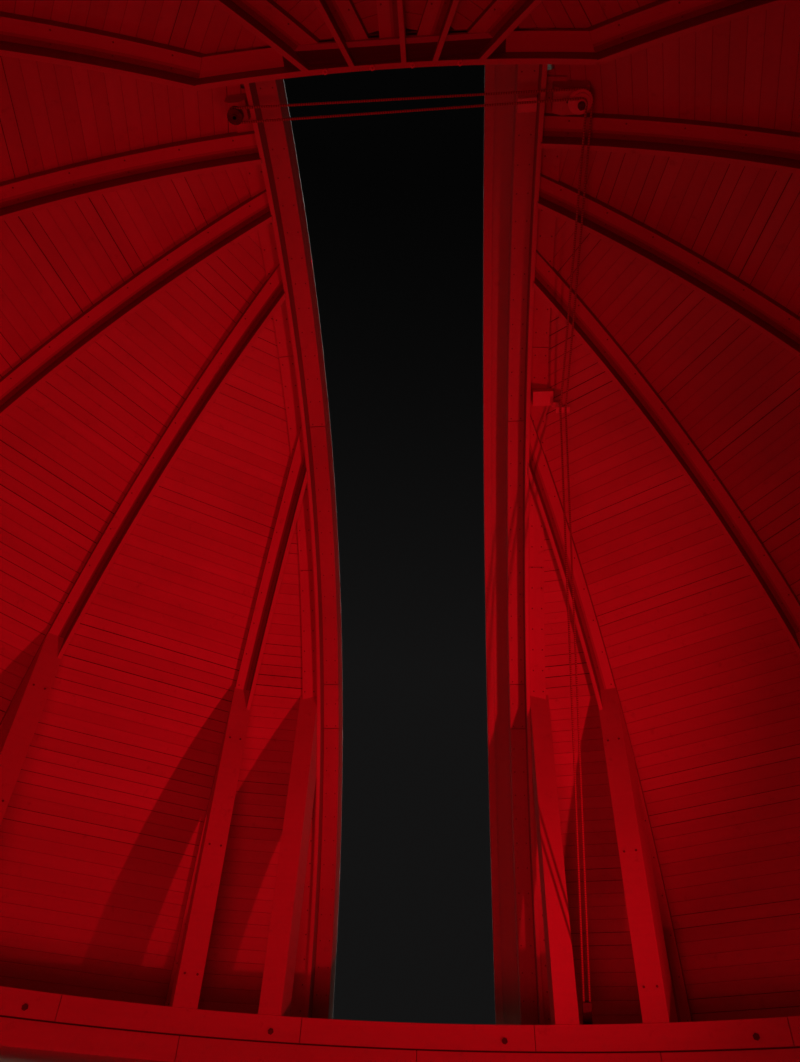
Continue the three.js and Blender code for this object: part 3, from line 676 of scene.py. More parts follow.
def lining_board(build, k, low):
    """One tongued board between two ribs, with a small V joint at each edge."""
    wide = RANDOM.random() < WIDE_JOINTS
    gap = degrees(JOINT_WIDTH * (2 if wide else 1) / R)
    high = low + COURSE
    rows = [(low, R + JOINT_DEPTH), (low + gap, R), (high - gap, R), (high, R + JOINT_DEPTH)]
    lines = [gore_line(k, theta, radius) for theta, radius in rows]
    tone = RANDOM.random() ** 1.3
    joint = GAP if wide else JOINT
    run = (lines[1][1] - lines[1][0]).length
    width = (lines[2][0] - lines[1][0]).length
    heights = (-JOINT_DEPTH, 0, width, width + JOINT_DEPTH)
    for first, last in outside_slit(gore_line(k, (low + high) / 2, R), BOARD_CLIP):
        start = add_lines(build, lines, first, last)
        for row, material in enumerate((joint, CREAM, joint)):
            a = start + row * 2
            grain = rectangle(first * run, last * run, heights[row], heights[row + 1])
            build.face([a, a + 1, a + 3, a + 2], material, tone, grain)


def cover_sheet(build, k, low, high):
    """One course of the outside covering, its lower edge lapped over the course below."""
    tone = RANDOM.random()
    thetas = [low] + spread(low, high, STEP)
    radii = [SHELL_OUT_R + SHEET_LAP * (high - theta) / (high - low) for theta in thetas]
    radii[0] = SHELL_OUT_R - SHEET_EDGE
    for i in range(len(thetas) - 1):
        middle = gore_line(k, (thetas[i] + thetas[i + 1]) / 2, SHELL_OUT_R)
        rows = [gore_line(k, thetas[j], radii[j]) for j in (i, i + 1)]
        low_run, high_run = (R * radians(thetas[j]) for j in (i, i + 1))
        wide = (rows[0][1] - rows[0][0]).length
        for first, last in outside_slit(middle, SHEET_CLIP):
            start = add_lines(build, rows, first, last)
            grain = rectangle(low_run, high_run, first * wide, last * wide)
            build.face([start, start + 2, start + 3, start + 1], COVER, tone, grain)


def joint_roll(build, azimuth, low, high):
    """Rounded roll over the joint between two gores."""
    def place(side, rise, theta):
        return dome_point(azimuth, SHELL_OUT_R - ROLL_SINK + rise, theta, side)

    build.sweep(ROLL, spread(low, high, STEP), place, COVER)


def roll_top(azimuth):
    """Elevation where a gore joint meets the slit's side or the rear curb, if it isn't in the slit."""
    cosine, sine = turn(azimuth)
    reach = (ARCH_OUT_X + ROLL_OFF_SLIT) / max(abs(sine), 1e-9)
    if cosine * reach < HEADER_REAR_Y:
        reach = (HEADER_REAR_Y - ROLL_OFF_CURB) / cosine
    return degrees(acos(reach / SHELL_OUT_R)) if reach < SHELL_OUT_R * 0.99 else None


def edge_boards(build, gores):
    """Foot of the shell: a narrow board that closes the thickness at the ring."""
    foot = foot_angle(R)
    for k in gores:
        def place(depth, rise, share, k=k):
            begin, end = gore_line(k, foot, R + depth)
            spot = begin.lerp(end, share)
            spot.z = CENTRE_Z + RING_TOP + SEAT + rise
            return spot

        for ends in outside_slit(gore_line(k, foot, R), BOARD_CLIP):
            build.sweep(EDGE_BOARD_SECTION, ends, place, [GAP, GAP, COVER, GAP])


def dome_panel(node, gores):
    """The lining and the covering of some of the sixteen gores."""
    lining = Build(node + "_lining")
    cover = Build(node + "_covering")
    foot = foot_angle(R) + 0.01
    for k in gores:
        for low in spread(foot, foot + COURSE * COURSES, COURSE)[:-1]:
            lining_board(lining, k, low)
        for low in spread(foot + 0.1, 90, SHEET_PITCH)[:-1]:
            cover_sheet(cover, k, low, min(low + SHEET_LENGTH, SHEET_TOP))
        for azimuth in (k * SIDE_ANGLE, (k + 1) * SIDE_ANGLE):
            if roll_top(azimuth):
                joint_roll(cover, azimuth, foot + 0.3, roll_top(azimuth))
    edge_boards(cover, gores)
    lining.finish("dome", [node])
    cover.finish("dome", [node], "dome_covering", outside=True)


# Ribs with their posts

def rib_end(azimuth, side, radius, limit_azimuth, distance):
    """Elevation at which one line of a rib reaches the face it ends on."""
    gap = radians(limit_azimuth - azimuth)
    reach = (distance - side * sin(gap)) / (radius * cos(gap))
    return degrees(acos(max(-1.0, min(1.0, reach))))


def rib_place(azimuth, limit_azimuth, distance, start=None):
    def place(side, radius, share):
        if start is None:
            low = degrees(asin((RING_TOP + SEAT) / radius))
        else:
            low = rib_end(azimuth, side, radius, limit_azimuth, start)
        high = rib_end(azimuth, side, radius, limit_azimuth, distance)
        slope = abs(side) * SLOPE if radius > R - 0.002 else 0.0
        return dome_point(azimuth, radius, low + (high - low) * share, side, slope)

    return place


def slit_side(azimuth):
    """The side of a rib that carries its thin board, the one towards the slit."""
    return -1 if 0 < azimuth <= 180 else 1


def edged(build, azimuth, place, stations):
    """A plank on the lining, with painted shade in its corner beside the board, and a thin board on edge
    beside it. The plank's outer side and the board's side that faces the plank are painted shade too.
    """
    sign = slit_side(azimuth)
    inside = sign * (RIB_HALF - EDGE_BOARD)
    corner = inside - sign * PLANK_GAP
    # Cream, then painted half shade, then painted shade towards the board; the sides are cream and painted
    # shade.
    plank = [(-sign * RIB_HALF, CREAM), (corner - sign * PAINTED_HALF_SHADE_REACH, PAINTED_HALF_SHADE),
             (corner - sign * PAINTED_SHADE_REACH, PAINTED_SHADE), (corner, CREAM)]
    board = [(inside, CREAM), (sign * RIB_HALF, CREAM)]
    for line, inner in ((plank, PLANK_R), (board, RIB_IN_R)):
        section = [(side, inner) for side, _ in line]
        section += [(line[-1][0], R - SEAT), (line[0][0], R - SEAT)]
        faces = [finish for _, finish in line[:-1]] + [CREAM, CREAM, PAINTED_SHADE]
        build.sweep(section, stations, place, faces, 0.45 + 0.55 * RANDOM.random())


def nail_rows(build, place, sides, depth, stations, head=NAIL_HEAD, proud=0.0006):
    """Nail heads along a member, in rows at some places across its face."""
    for station in stations:
        for side in sides:
            spot = place(side, depth, station)
            inward = (Vector((0, 0, CENTRE_Z)) - spot).normalized()
            build.turned(spot + inward * proud, inward, *head, NAIL, 8)


def even_shares(count):
    return [(k + 0.5) / count for k in range(count)]


def rib_post(build, azimuth):
    place = side_place(azimuth)
    outer = POST_IN_R + POST_DEPTH
    inner_top, outer_top = (CENTRE_Z + sqrt(POST_TOP_R ** 2 - reach ** 2) for reach in (POST_IN_R, outer))
    foot = CENTRE_Z + RING_TOP + SEAT
    section = [(POST_IN_R, foot), (outer, foot), (outer, outer_top), (POST_IN_R, inner_top)]
    build.sweep(section, (-POST_HALF, POST_HALF), place, CREAM)
    for height in POST_NAIL_HEIGHTS:
        for side in (-POST_NAIL_SIDE, POST_NAIL_SIDE):
            spot = place(POST_IN_R - 0.001, CENTRE_Z + height, side)
            build.turned(spot, (-spot.x, -spot.y, 0), 0.006, 0.002, NAIL, 8)


def make_rib(name, azimuth, limit_azimuth, distance):
    build = Build(name + "_boards")
    place = rib_place(azimuth, limit_azimuth, distance)
    span = rib_end(azimuth, 0, RIB_IN_R, limit_azimuth, distance) - 6
    edged(build, azimuth, place, shares(span))
    middle = -slit_side(azimuth) * EDGE_BOARD / 2
    sides = (middle - RIB_NAIL_SIDE, middle + RIB_NAIL_SIDE)
    nail_rows(build, place, sides, PLANK_R, even_shares(RIB_NAILS))
    rib_post(build, azimuth)
    build.finish("dome", [name], bevel=0.0025)


# Arches beside the slit

def arc_place(sign, low_height, end_y):
    """Arcs about the X axis, from a height above the centre to a distance behind it."""
    def place(x, radius, share):
        low = degrees(asin(low_height / radius))
        high = 90 + degrees(asin(-end_y / radius))
        return arc_point(sign * x, radius, low + (high - low) * share)

    return place


def make_arch(name, sign):
    build = Build(name + "_boards")
    place = arc_place(sign, RING_TOP + SEAT, HEADER_FRONT_Y)
    edge_x = ARCH_OUT_X - EDGE_BOARD
    thick = (ARCH_TOP_R - ARCH_PLANK_R) / 2
    for k, joints in enumerate(ARCH_JOINTS):
        low = ARCH_PLANK_R + k * thick
        section = rectangle(ARCH_IN_X, edge_x - PLANK_GAP, low, low + thick - 0.002)
        for start, stop in zip(joints, joints[1:]):
            lengths = spread(start, stop - 0.0006, STEP / 90)
            tone = 0.3 + 0.6 * RANDOM.random()
            build.sweep(section, lengths, place, [ARCH_PAINT, GAP, COVER, ARCH_PAINT], tone)
    outer = rectangle(edge_x, ARCH_OUT_X, ARCH_IN_R, ARCH_TOP_R)
    # The board's side that faces the planks is painted shade.
    build.sweep(outer, shares(90), place, [CREAM, CREAM, COVER, PAINTED_SHADE], 0.9)
    sides = (ARCH_IN_X + ARCH_NAIL_INSET[0], edge_x - ARCH_NAIL_INSET[1])
    nail_rows(build, place, sides, ARCH_PLANK_R, even_shares(ARCH_NAILS))
    if sign > 0:
        block = rectangle(*ARCH_BLOCK_X, ARCH_BLOCK_R, ARCH_PLANK_R)
        build.sweep(block, ARCH_BLOCK_THETA, arc_point, LIGHT_PAINT, 0.9)
    arch_post(build, sign)
    cover_strip(build, sign)
    build.finish("dome", [name], bevel=0.002)


def arch_post(build, sign):
    outer_x = ARCH_OUT_X + 2 * RIB_HALF
    front = sqrt(POST_IN_R ** 2 - outer_x ** 2)
    rear = front + POST_DEPTH
    foot = RING_TOP + SEAT
    front_top = sqrt(ARCH_POST_TOP_R ** 2 - front ** 2)
    section = [(front, foot), (rear, foot), (rear, ARCH_POST_REAR_TOP), (front, front_top)]

    def place(y, height, x):
        return Vector((sign * x, y, CENTRE_Z + height))

    build.sweep(section, (ARCH_OUT_X + 0.0005, outer_x), place, CREAM)


def lining_radius(x, theta, thickness):
    """Distance from the sphere's X axis to the flat gores of the lining, at one x and elevation."""
    cosine, sine = turn(theta)
    reaches = []
    for k in range(SIDES):
        c, s = turn((k + 0.5) * SIDE_ANGLE)
        a = cosine * c / FLAT
        b = x * s / FLAT
        square = a * a + sine * sine
        root = a * a * b * b - square * (b * b - (R - thickness) ** 2)
        if root > 0:
            reaches.append((sqrt(root) - a * b) / square)
    return min(reaches)


def cover_strip(build, sign):
    """Flat boards that cover the ends of the lining beside the arch, with rows of nail heads."""
    def place(out, depth, theta):
        x = ARCH_OUT_X - STRIP_SINK + out * (STRIP_WIDTH + STRIP_SINK)
        return arc_point(sign * x, lining_radius(x, theta, STRIP_THICK * depth - 0.002), theta)

    low, high = STRIP_ARC
    length = (high - low) / STRIP_BOARDS
    section = [(0, 0), (0.5, 0), (1, 0), (1, 1), (0.5, 1), (0, 1)]
    for k in range(STRIP_BOARDS):
        start = low + length * k
        stations = spread(start, start + length - 0.05, STEP / 2)
        build.sweep(section, stations, place, CREAM, 0.4 + 0.3 * RANDOM.random())
    nail_rows(build, place, (0.3, 0.85), 1, spread(*STRIP_NAIL_ARC), STRIP_NAIL_HEAD, 0.0)


# Header at the closed end of the slit

def header_place(y, radius, share):
    """Arcs about the Y axis, between the ribs that meet the header's ends."""
    cosine, sine = turn(HEADER_RIB_AZIMUTH)
    x = (HEADER_END - y * cosine) / sine
    reach = degrees(asin(x / radius))
    c, s = turn(reach * (2 * share - 1))
    return Vector((radius * s, y, CENTRE_Z + radius * c))


def make_header():
    build = Build("header_boards")
    edge_y = HEADER_FRONT_Y - EDGE_BOARD
    stations = spread(0.0, 1.0, 1 / HEADER_STEPS)
    boards = ((HEADER_REAR_Y, edge_y - PLANK_GAP, HEADER_PLANK_R), (edge_y, HEADER_FRONT_Y, HEADER_IN_R))
    for low, high, inner in boards:
        section = rectangle(low, high, inner, HEADER_CORE_TOP_R)
        # The rear sides of the plank and the board are painted shade.
        build.sweep(section, stations, header_place, [CREAM, CREAM, CREAM, PAINTED_SHADE], 0.7)
    for k in range(6, 11):
        azimuth = k * SIDE_ANGLE
        through = rib_place(azimuth, 180, -edge_y - 0.001, start=-HEADER_REAR_Y - 0.002)
        edged(build, azimuth, through, (0, 0.5, 1))
    curb_boards(build)
    for x in HEADER_BOLT_X:
        bolt(build, x, HEADER_FRONT_Y - HEADER_BOLT_INSET)
    build.finish("dome", ["header"], bevel=0.002)


def curb_boards(build):
    """Boards that close the slit's rear end above the header, with a cap."""
    low = CENTRE_Z + CURB_FOOT
    top = CENTRE_Z + CURB_TOP
    height = (top - low - CURB_CAP) / 2
    width = (0.001 - ARCH_OUT_X, ARCH_OUT_X - 0.001)
    for k in range(2):
        z = (low + k * height, low + (k + 1) * height - 0.003)
        build.block(width, (HEADER_FRONT_Y - CURB_BOARD, HEADER_FRONT_Y), z, ARCH_PAINT)
        build.block(width, (HEADER_REAR_Y, HEADER_REAR_Y + CURB_BOARD), z, COVER)
    core = (HEADER_REAR_Y + CURB_BOARD - 0.001, HEADER_FRONT_Y - CURB_BOARD + 0.001)
    build.block(width, core, (low, top - 0.02), GAP)
    build.block(width, (HEADER_REAR_Y, HEADER_FRONT_Y), (top - CURB_CAP, top), COVER)


def bolt(build, x, y):
    """Pointed end of a bolt that stands down from the header's front board, and its nut."""
    z = CENTRE_Z + sqrt(HEADER_IN_R ** 2 - x ** 2)
    build.turned((x, y, z), (0, 0, -1), 0.007, 0.02, LIGHT_PAINT, 10, ((-1, 1), (0.3, 1), (1, 0.15)))
    build.turned((x, y, z - 0.004), (0, 0, -1), 0.013, 0.005, LIGHT_PAINT, 6)


# Base ring and skirt

def on_side(azimuth, radius):
    """Distance to a sixteen-sided outline, from its radius at the corners."""
    within = (azimuth % SIDE_ANGLE) - HALF_SIDE
    return radius * FLAT / cos(radians(within))


def make_ring():
    """Two layers of boards with their ends set half a side apart, over a dark core."""
    build = Build("ring_boards")

    def place(outness, height, azimuth):
        inner = RING_IN_R + outness
        outer = on_side(azimuth, RING_OUT_R) - (1 - outness)
        return point(azimuth, inner if outness < 0.5 else outer, CENTRE_Z + height)

    layers = ((RING_BOTTOM, RING_JOINT - RING_GAP, 0.0), (RING_JOINT + RING_GAP, RING_TOP, HALF_SIDE))
    for k in range(SIDES):
        for low, high, shift in layers:
            first = k * SIDE_ANGLE + shift
            stations = spread(first + RING_END_GAP, first + SIDE_ANGLE - RING_END_GAP, STEP / 2)
            tone = 0.3 + 0.5 * RANDOM.random()
            build.sweep(rectangle(0, 1, low, high), stations, place, [CREAM, COVER, CREAM, CREAM], tone)
    # The core shows in the joint between the two layers as a painted shadow line.
    core = rectangle(0.012, 0.99, RING_JOINT - RING_GAP, RING_JOINT + RING_GAP)
    build.sweep(core, spread(0, 360, STEP)[:-1], place, GAP, closed=True)
    for k in range(SIDES):
        x, y = along(RING_BOLT_AZIMUTH + k * SIDE_ANGLE, RING_IN_R - 0.004)
        build.turned((x, y, CENTRE_Z + RING_BOLT_HEIGHT), (-x, -y, 0), 0.014, 0.006, STEEL, 6)
    for azimuth in even_shares(TRUCKS):
        truck(build, azimuth * 360)
    build.finish("dome", ["dome_ring"], bevel=0.0025)


def truck(build, azimuth):
    """A grooved wheel between two plates, with its axle and nuts."""
    x, y = along(azimuth, TRACK_R)
    centre = (x, y, TRACK_TOP + SEAT + WHEEL_R)
    build.turned(centre, (x, y, 0), WHEEL_R, 0.02, STEEL, 28, WHEEL_RIM)
    build.turned(centre, (x, y, 0), 0.022, 0.026, STEEL, 16)
    build.turned(centre, (x, y, 0), 0.012, 0.044, STEEL, 6)
    top = CENTRE_Z + RING_BOTTOM
    section = [(side, top + drop) for side, drop in TRUCK_PLATE]
    for out in (-TRUCK_PLATE_OUT, TRUCK_PLATE_OUT):
        def place(side, height, depth, out=out):
            return point(azimuth, TRACK_R + out + depth, height, side)

        build.sweep(section, (-0.005, 0.005), place, STEEL)


def make_skirt():
    """Sheet panels on each of the sixteen sides, with a head band, a drip band and corner straps."""
    build = Build("skirt_sheets")
    top = CENTRE_Z + RING_TOP

    def place(depth, height, azimuth):
        return point(azimuth, on_side(azimuth, SKIRT_IN_R + depth), height)

    sheet = rectangle(*SKIRT_SHEET, SKIRT_BOTTOM + 0.01, top - 0.01)
    strap = rectangle(*SKIRT_STRAP, SKIRT_BOTTOM + 0.05, top - 0.04)
    for k in range(SIDES):
        first = k * SIDE_ANGLE
        stations = (first + 0.02, first + HALF_SIDE, first + SIDE_ANGLE - 0.02)
        tone = RANDOM.random()
        build.sweep(sheet, stations, place, COVER, tone)
        for low, high in ((SKIRT_BOTTOM, SKIRT_BOTTOM + 0.06), (top - 0.05, top)):
            build.sweep([(0, low), (0.028, low), (0.024, high), (0, high)], stations, place, TRIM)
        for azimuth in (first + 0.03, first + SIDE_ANGLE - 0.03 - SKIRT_STRAP_ANGLE):
            build.sweep(strap, (azimuth, azimuth + SKIRT_STRAP_ANGLE), place, COVER, tone)
    build.finish("dome", ["dome_skirt"], "dome_covering", bevel=0.0015, outside=True)


# Shutter leaves

def make_leaf(name, body, sign, edge):
    build = Build(name + "_boards")
    top = Build(name + "_covering")
    place = arc_place(sign, LEAF_FOOT, LEAF_END_Y)
    stations = shares(93)
    outer = edge + LEAF_WIDTH
    skin = LEAF_OUT_R - 0.01
    for x in (edge, outer - LEAF_STILE):
        build.sweep(rectangle(x, x + LEAF_STILE, LEAF_STILE_R, skin), stations, place, ARCH_PAINT)
    pitch = (LEAF_WIDTH - 2 * LEAF_STILE) / LEAF_PANELS
    for k in range(LEAF_PANELS):
        x = edge + LEAF_STILE + k * pitch
        section = rectangle(x, x + pitch - 0.003, LEAF_PANEL_R, skin - 0.005)
        build.sweep(section, stations, place, [ARCH_PAINT, GAP, GAP, GAP])
    sheet = rectangle(edge, outer, skin - LEAF_SHEET, LEAF_OUT_R - LEAF_SHEET)
    top.sweep(sheet, stations, place, COVER)
    band = rectangle(edge, outer, LEAF_OUT_R - 0.006, LEAF_OUT_R)
    for share in spread(*LEAF_BANDS):
        top.sweep(band, (share, share + 0.006, share + 0.012), place, COVER)
    leaf_shoes(top, sign, edge)
    build.finish(body, [name], bevel=0.002)
    top.finish(body, [name], "dome_covering", bevel=0.002, outside=True)


def leaf_shoes(build, sign, edge):
    """Shoes on the lower and upper rails, each with two rollers."""
    for start in (edge + LEAF_STILE, edge + LEAF_WIDTH - LEAF_STILE - SHOE_LENGTH):
        ends = sorted((sign * start, sign * (start + SHOE_LENGTH)))
        for y, (low, high) in SHOE_BOXES:
            build.block(ends, y, (CENTRE_Z + low + 0.006, CENTRE_Z + high), STEEL)
            for x in (ends[0] + 0.02, ends[1] - 0.02):
                centre = (x, sum(y) / 2, CENTRE_Z + low + 0.012)
                build.turned(centre, (0, 1, 0), 0.012, 0.012, STEEL)


# Wall

def facet_half(apothem):
    return apothem * SLOPE


def whole_side(apothem):
    return [(-facet_half(apothem), facet_half(apothem))]


def beside_door(apothem):
    return [(-facet_half(apothem), -DOORWAY_HALF), (DOORWAY_HALF, facet_half(apothem))]


def facet_boards(build, lining, azimuth, spans, low, high):
    """Lapped boards outside and narrow level boards inside, over the given spans of one side."""
    place = side_place(azimuth)
    board_in = APOTHEM - CLADDING
    back = board_in - 0.004
    for foot, top in courses(low, high, CLADDING_STEP):
        # A strip of the dark joint finish at the top of each face, under the lap of the board above, is a
        # painted shadow line.
        section = [(back, foot), (APOTHEM, foot), (board_in + 0.005, top - 0.008), (board_in + 0.004, top),
                   (back, top)]
        for side in spans(board_in):
            build.sweep(section, side, place, [GAP, WALL_PAINT, GAP, WALL_PAINT, WALL_PAINT])
    inner = WALL_IN_APOTHEM
    for foot, top in courses(max(low, FLOOR_TOP), high, INSIDE_BOARD):
        section = [(inner, foot + 0.0015), (inner + 0.01, foot), (inner + 0.01, top), (inner, top - 0.0015)]
        for side in spans(inner):
            lining.sweep(section, side, place, [GAP, GAP, GAP, CREAM])
    for side in spans(inner):
        build.sweep(rectangle(inner + 0.009, board_in - 0.003, low, high), side, place, GAP)


def corner_trim(build, azimuth, plinth):
    """Corner boards where two sides of the wall meet, and the plinth between them."""
    place = side_place(azimuth)
    half = facet_half(APOTHEM)
    if plinth:
        section = [(APOTHEM - 0.03, 0.0), (APOTHEM, 0.0), (APOTHEM, PLINTH_TOP - 0.015),
                   (APOTHEM - 0.012, PLINTH_TOP), (APOTHEM - 0.03, PLINTH_TOP)]
        build.sweep(section, (-half, half), place, TRIM)
    for side in ((-half, TRIM_WIDTH - half), (half - TRIM_WIDTH, half)):
        section = rectangle(APOTHEM - 0.02, APOTHEM, PLINTH_TOP if plinth else 0.0, WALL_TOP)
        build.sweep(section, side, place, TRIM)


def make_wall(name, first, count, levels=((whole_side, 0.0, WALL_TOP),), plinth=True):
    build = Build(name + "_boards")
    lining = Build(name + "_lining")
    for k in range(count):
        for spans, low, high in levels:
            facet_boards(build, lining, first + k * SIDE_ANGLE, spans, low, high)
        corner_trim(build, first + k * SIDE_ANGLE, plinth)
    lining.finish("building", [name])
    build.finish("building", [name], outside=True)


# Door and floor

def make_door_frame():
    build = Build("door_frame_boards")
    half = DOORWAY_HALF - SEAT
    clear = half - FRAME_WIDTH
    top = DOORWAY_TOP - SEAT
    head = top - FRAME_WIDTH
    deep = (FRAME_OUT_Y, FRAME_OUT_Y + FRAME_DEPTH)
    stop = (FRAME_OUT_Y + DOOR_SET_BACK + DOOR_THICK + SEAT, deep[1])
    for sign in (-1, 1):
        build.block(sorted((sign * clear, sign * half)), deep, (0.0, top), TRIM, length="z")
        side = sorted((sign * (clear - FRAME_STOP), sign * clear))
        build.block(side, stop, (FLOOR_TOP, head), TRIM, length="z")
    build.block((-clear, clear), deep, (head, top), TRIM)
    build.block((FRAME_STOP - clear, clear - FRAME_STOP), stop, (head - FRAME_STOP, head), TRIM)
    build.block((-clear, clear), deep, (0.0, FLOOR_TOP - SILL), TRIM)
    build.block((-clear, clear), deep, (FLOOR_TOP - SILL, FLOOR_TOP), FLOORING)
    build.finish("building", ["door_frame"], bevel=0.002, outside=True)


def make_door():
    """Planked door with strap hinges, a ring pull and its plate outside, ledges inside."""
    build = Build("door_planks")
    out_y = FRAME_OUT_Y + DOOR_SET_BACK
    half = DOORWAY_HALF - FRAME_WIDTH - 2 * SEAT
    low = FLOOR_TOP + SEAT
    top = DOORWAY_TOP - FRAME_WIDTH - 2 * SEAT
    width = 2 * half / DOOR_PLANKS
    for k in range(DOOR_PLANKS):
        x = (-half + k * width, -half + (k + 1) * width - 0.0025)
        build.block(x, (out_y + 0.008, out_y + 0.028), (low, top), DOOR_PAINT, length="z")
    back = (out_y + 0.027, out_y + DOOR_THICK)
    for z in (low + 0.12, (low + top) / 2 - 0.06, top - 0.26):
        build.block((-half + 0.02, half - 0.02), back, (z, z + DOOR_LEDGE), DOOR_PAINT)
    for z in (low + 0.18, top - 0.2):
        build.block((-half, half - 0.22), (out_y + 0.003, out_y + 0.009), (z - 0.02, z + 0.02), STEEL)
        for x in (-half + 0.05, -half + 0.2, -half + 0.38, half - 0.27):
            build.turned((x, out_y + 0.002, z), (0, -1, 0), 0.009, 0.0015, STEEL, 10)
        build.turned((-half + 0.006, out_y + 0.004, z), (0, 0, 1), 0.006, 0.03, STEEL, 12)
    z = low + PULL_HEIGHT
    build.block((half - 0.12, half - 0.05), (out_y + 0.004, out_y + 0.009), (z - 0.08, z + 0.08), STEEL)
    ring = [turn(18 * k) for k in range(20)]
    pull = [Vector((half - 0.085 + PULL_RADIUS * sine, out_y + 0.0005, z + 0.01 - PULL_RADIUS * cosine))
            for cosine, sine in ring]
    tube(build, pull, 0.0035, 8, STEEL)
    build.finish("building", ["door"], "door_paint", bevel=0.0018, outside=True)


def make_floor():
    """Floor boards that run along X, each cut in two and to the sixteen sides."""
    build = Build("floor_planks")
    reach = WALL_IN_APOTHEM - 0.0004

    def half_width(y):
        sides = [turn(k * SIDE_ANGLE) for k in range(1, SIDES // 2)]
        return min((reach - y * cosine) / sine for cosine, sine in sides)

    width = 2 * reach / FLOOR_BOARDS
    section = rectangle(0, 1, FLOOR_TOP - FLOOR_BOARD_THICK, FLOOR_TOP)
    for k in range(FLOOR_BOARDS):
        ends = (-reach + k * width, -reach + (k + 1) * width - 0.003)
        row = [half_width(y) for y in ends]
        cut = RANDOM.uniform(-0.6, 0.6) * min(row)
        for start, stop in (((-row[0], -row[1]), (cut, cut)), ((cut + 0.002, cut + 0.002), row)):
            def place(a, z, share, ends=ends, start=start, stop=stop):
                return Vector((start[a] + (stop[a] - start[a]) * share, ends[a], z))

            build.sweep(section, (0, 1), place, [GAP, GAP, FLOORING, GAP])

    def core_place(share, z, azimuth):
        return point(azimuth, share * reach / FLAT, z)

    core = rectangle(0.02, 1.0, 0.0, FLOOR_TOP - FLOOR_BOARD_THICK + 0.001)
    corners = [HALF_SIDE + k * SIDE_ANGLE for k in range(SIDES)]
    build.sweep(core, corners, core_place, GAP, closed=True)
    build.finish("building", ["floor"], "floor_boards")


# Rope

def tube(build, route, radius, sides, material):
    """A round tube along a closed route."""
    count = len(route)
    ways = []
    for k, spot in enumerate(route):
        after = (route[(k + 1) % count] - spot).normalized()
        before = (spot - route[k - 1]).normalized()
        ways.append((after + before).normalized())
    normals = [ways[0].orthogonal().normalized()]
    for before, after in zip(ways, ways[1:]):
        normals.append(before.rotation_difference(after) @ normals[-1])
    ring = [(2 * pi * i / sides, 0) for i in range(sides)]

    def place(angle, _, k):
        return route[k] + Matrix.Rotation(angle, 3, ways[k]) @ normals[k] * radius

    build.sweep(ring, range(count), place, material, 0.5, closed=True)


def rope_arc(x, y, radius, z, first, last):
    angles = spread(first, last, ROPE_TURN / 2)
    return [Vector((x + radius * cosine, y + radius * sine, z)) for cosine, sine in map(turn, angles)]


def rope_route():
    lx, ly, lr = ROPE_LEFT
    rx, ry, outer, inner = ROPE_RIGHT
    gx, gy, gz = ROPE_GUIDE
    fx, fy, fz = ROPE_FOOT
    half = STRAND_GAP / 2
    lean = Vector((0, gy - fy, gz - fz)).normalized()
    foot = [Vector((fx, fy, CENTRE_Z + fz)) + Vector((half * cosine, 0, 0)) - lean * half * sine
            for cosine, sine in map(turn, spread(0, 180, ROPE_TURN))]
    right_guide, left_guide = ([Vector((gx + side, gy, CENTRE_Z + gz))] for side in (half, -half))
    corners = [rope_arc(lx, ly, lr, ROPE_Z, 90, 270), rope_arc(rx, ry, outer, ROPE_Z, -90, 0),
               right_guide, foot, left_guide, rope_arc(rx, ry, inner, LOWER_Z, 0, -90)]
    route = []
    for group, following in zip(corners, corners[1:] + corners[:1]):
        route.extend(group)
        start, stop = group[-1], following[0]
        steps = max(1, int((stop - start).length / ROPE_STEP))
        route.extend(start.lerp(stop, j / steps) for j in range(1, steps))
    return route


def make_rope():
    build = Build("shutter_rope_laid")
    tube(build, rope_route(), ROPE_R, 10, ROPE)
    build.finish("dome", ["shutter_rope"], "rope", smooth=60)


# Pulley blocks

def sheave(build, x, y, z, radius, material):
    """A grooved wheel with its hub."""
    build.turned((x, y, z), (0, 0, 1), radius, SHEAVE_HALF, material, 28, SHEAVE)
    build.turned((x, y, z), (0, 0, 1), radius * 0.45, SHEAVE_HALF + 0.003, STEEL)


def hanging_bracket(build, x, y, pin_low, pin):
    """A painted block shaped to the lining, with bolts in its face and the pin that carries the wheels."""
    z = ROPE_Z + BRACKET_RISE

    def place(a, share, b):
        roof = sqrt((R - 0.012) ** 2 - a * a - b * b) + CENTRE_Z
        return Vector((a, b, z + (roof - z) * share))

    inset = BRACKET_INSET * (x[1] - x[0])
    section = [(x[0] + inset, 0), (x[1] - inset, 0), (x[1], BRACKET_SHOULDER), (x[1], 1), (x[0], 1),
               (x[0], BRACKET_SHOULDER)]
    build.sweep(section, spread(*y, 0.05), place, CREAM, 0.8)
    for side in (-0.016, 0.016):
        build.turned((sum(x) / 2 + side, sum(y) / 2, z), (0, 0, -1), 0.006, 0.003, STEEL, 6)
    px, py, radius = pin
    centre = (px, py, (z + pin_low) / 2 + 0.004)
    build.turned(centre, (0, 0, 1), radius, (z - pin_low) / 2 + 0.004, STEEL, 14)
    build.turned((px, py, pin_low + 0.003), (0, 0, 1), radius * 1.5, 0.003, STEEL, 6)


def make_pulley_left():
    build = Build("pulley_block_left_work")
    x, y, radius = ROPE_LEFT
    sheave(build, x, y, ROPE_Z, radius, STEEL)
    for side in (-0.0125, 0.0125):
        build.turned((x, y, ROPE_Z + side), (0, 0, 1), radius + 0.004, 0.003, STEEL, 24)
    hanging_bracket(build, (x - 0.048, x + 0.042), (y - 0.045, y + 0.045), ROPE_Z - 0.024, (x, y, 0.009))
    build.finish("dome", ["pulley_block_left"], "dark_steel", bevel=0.0012)


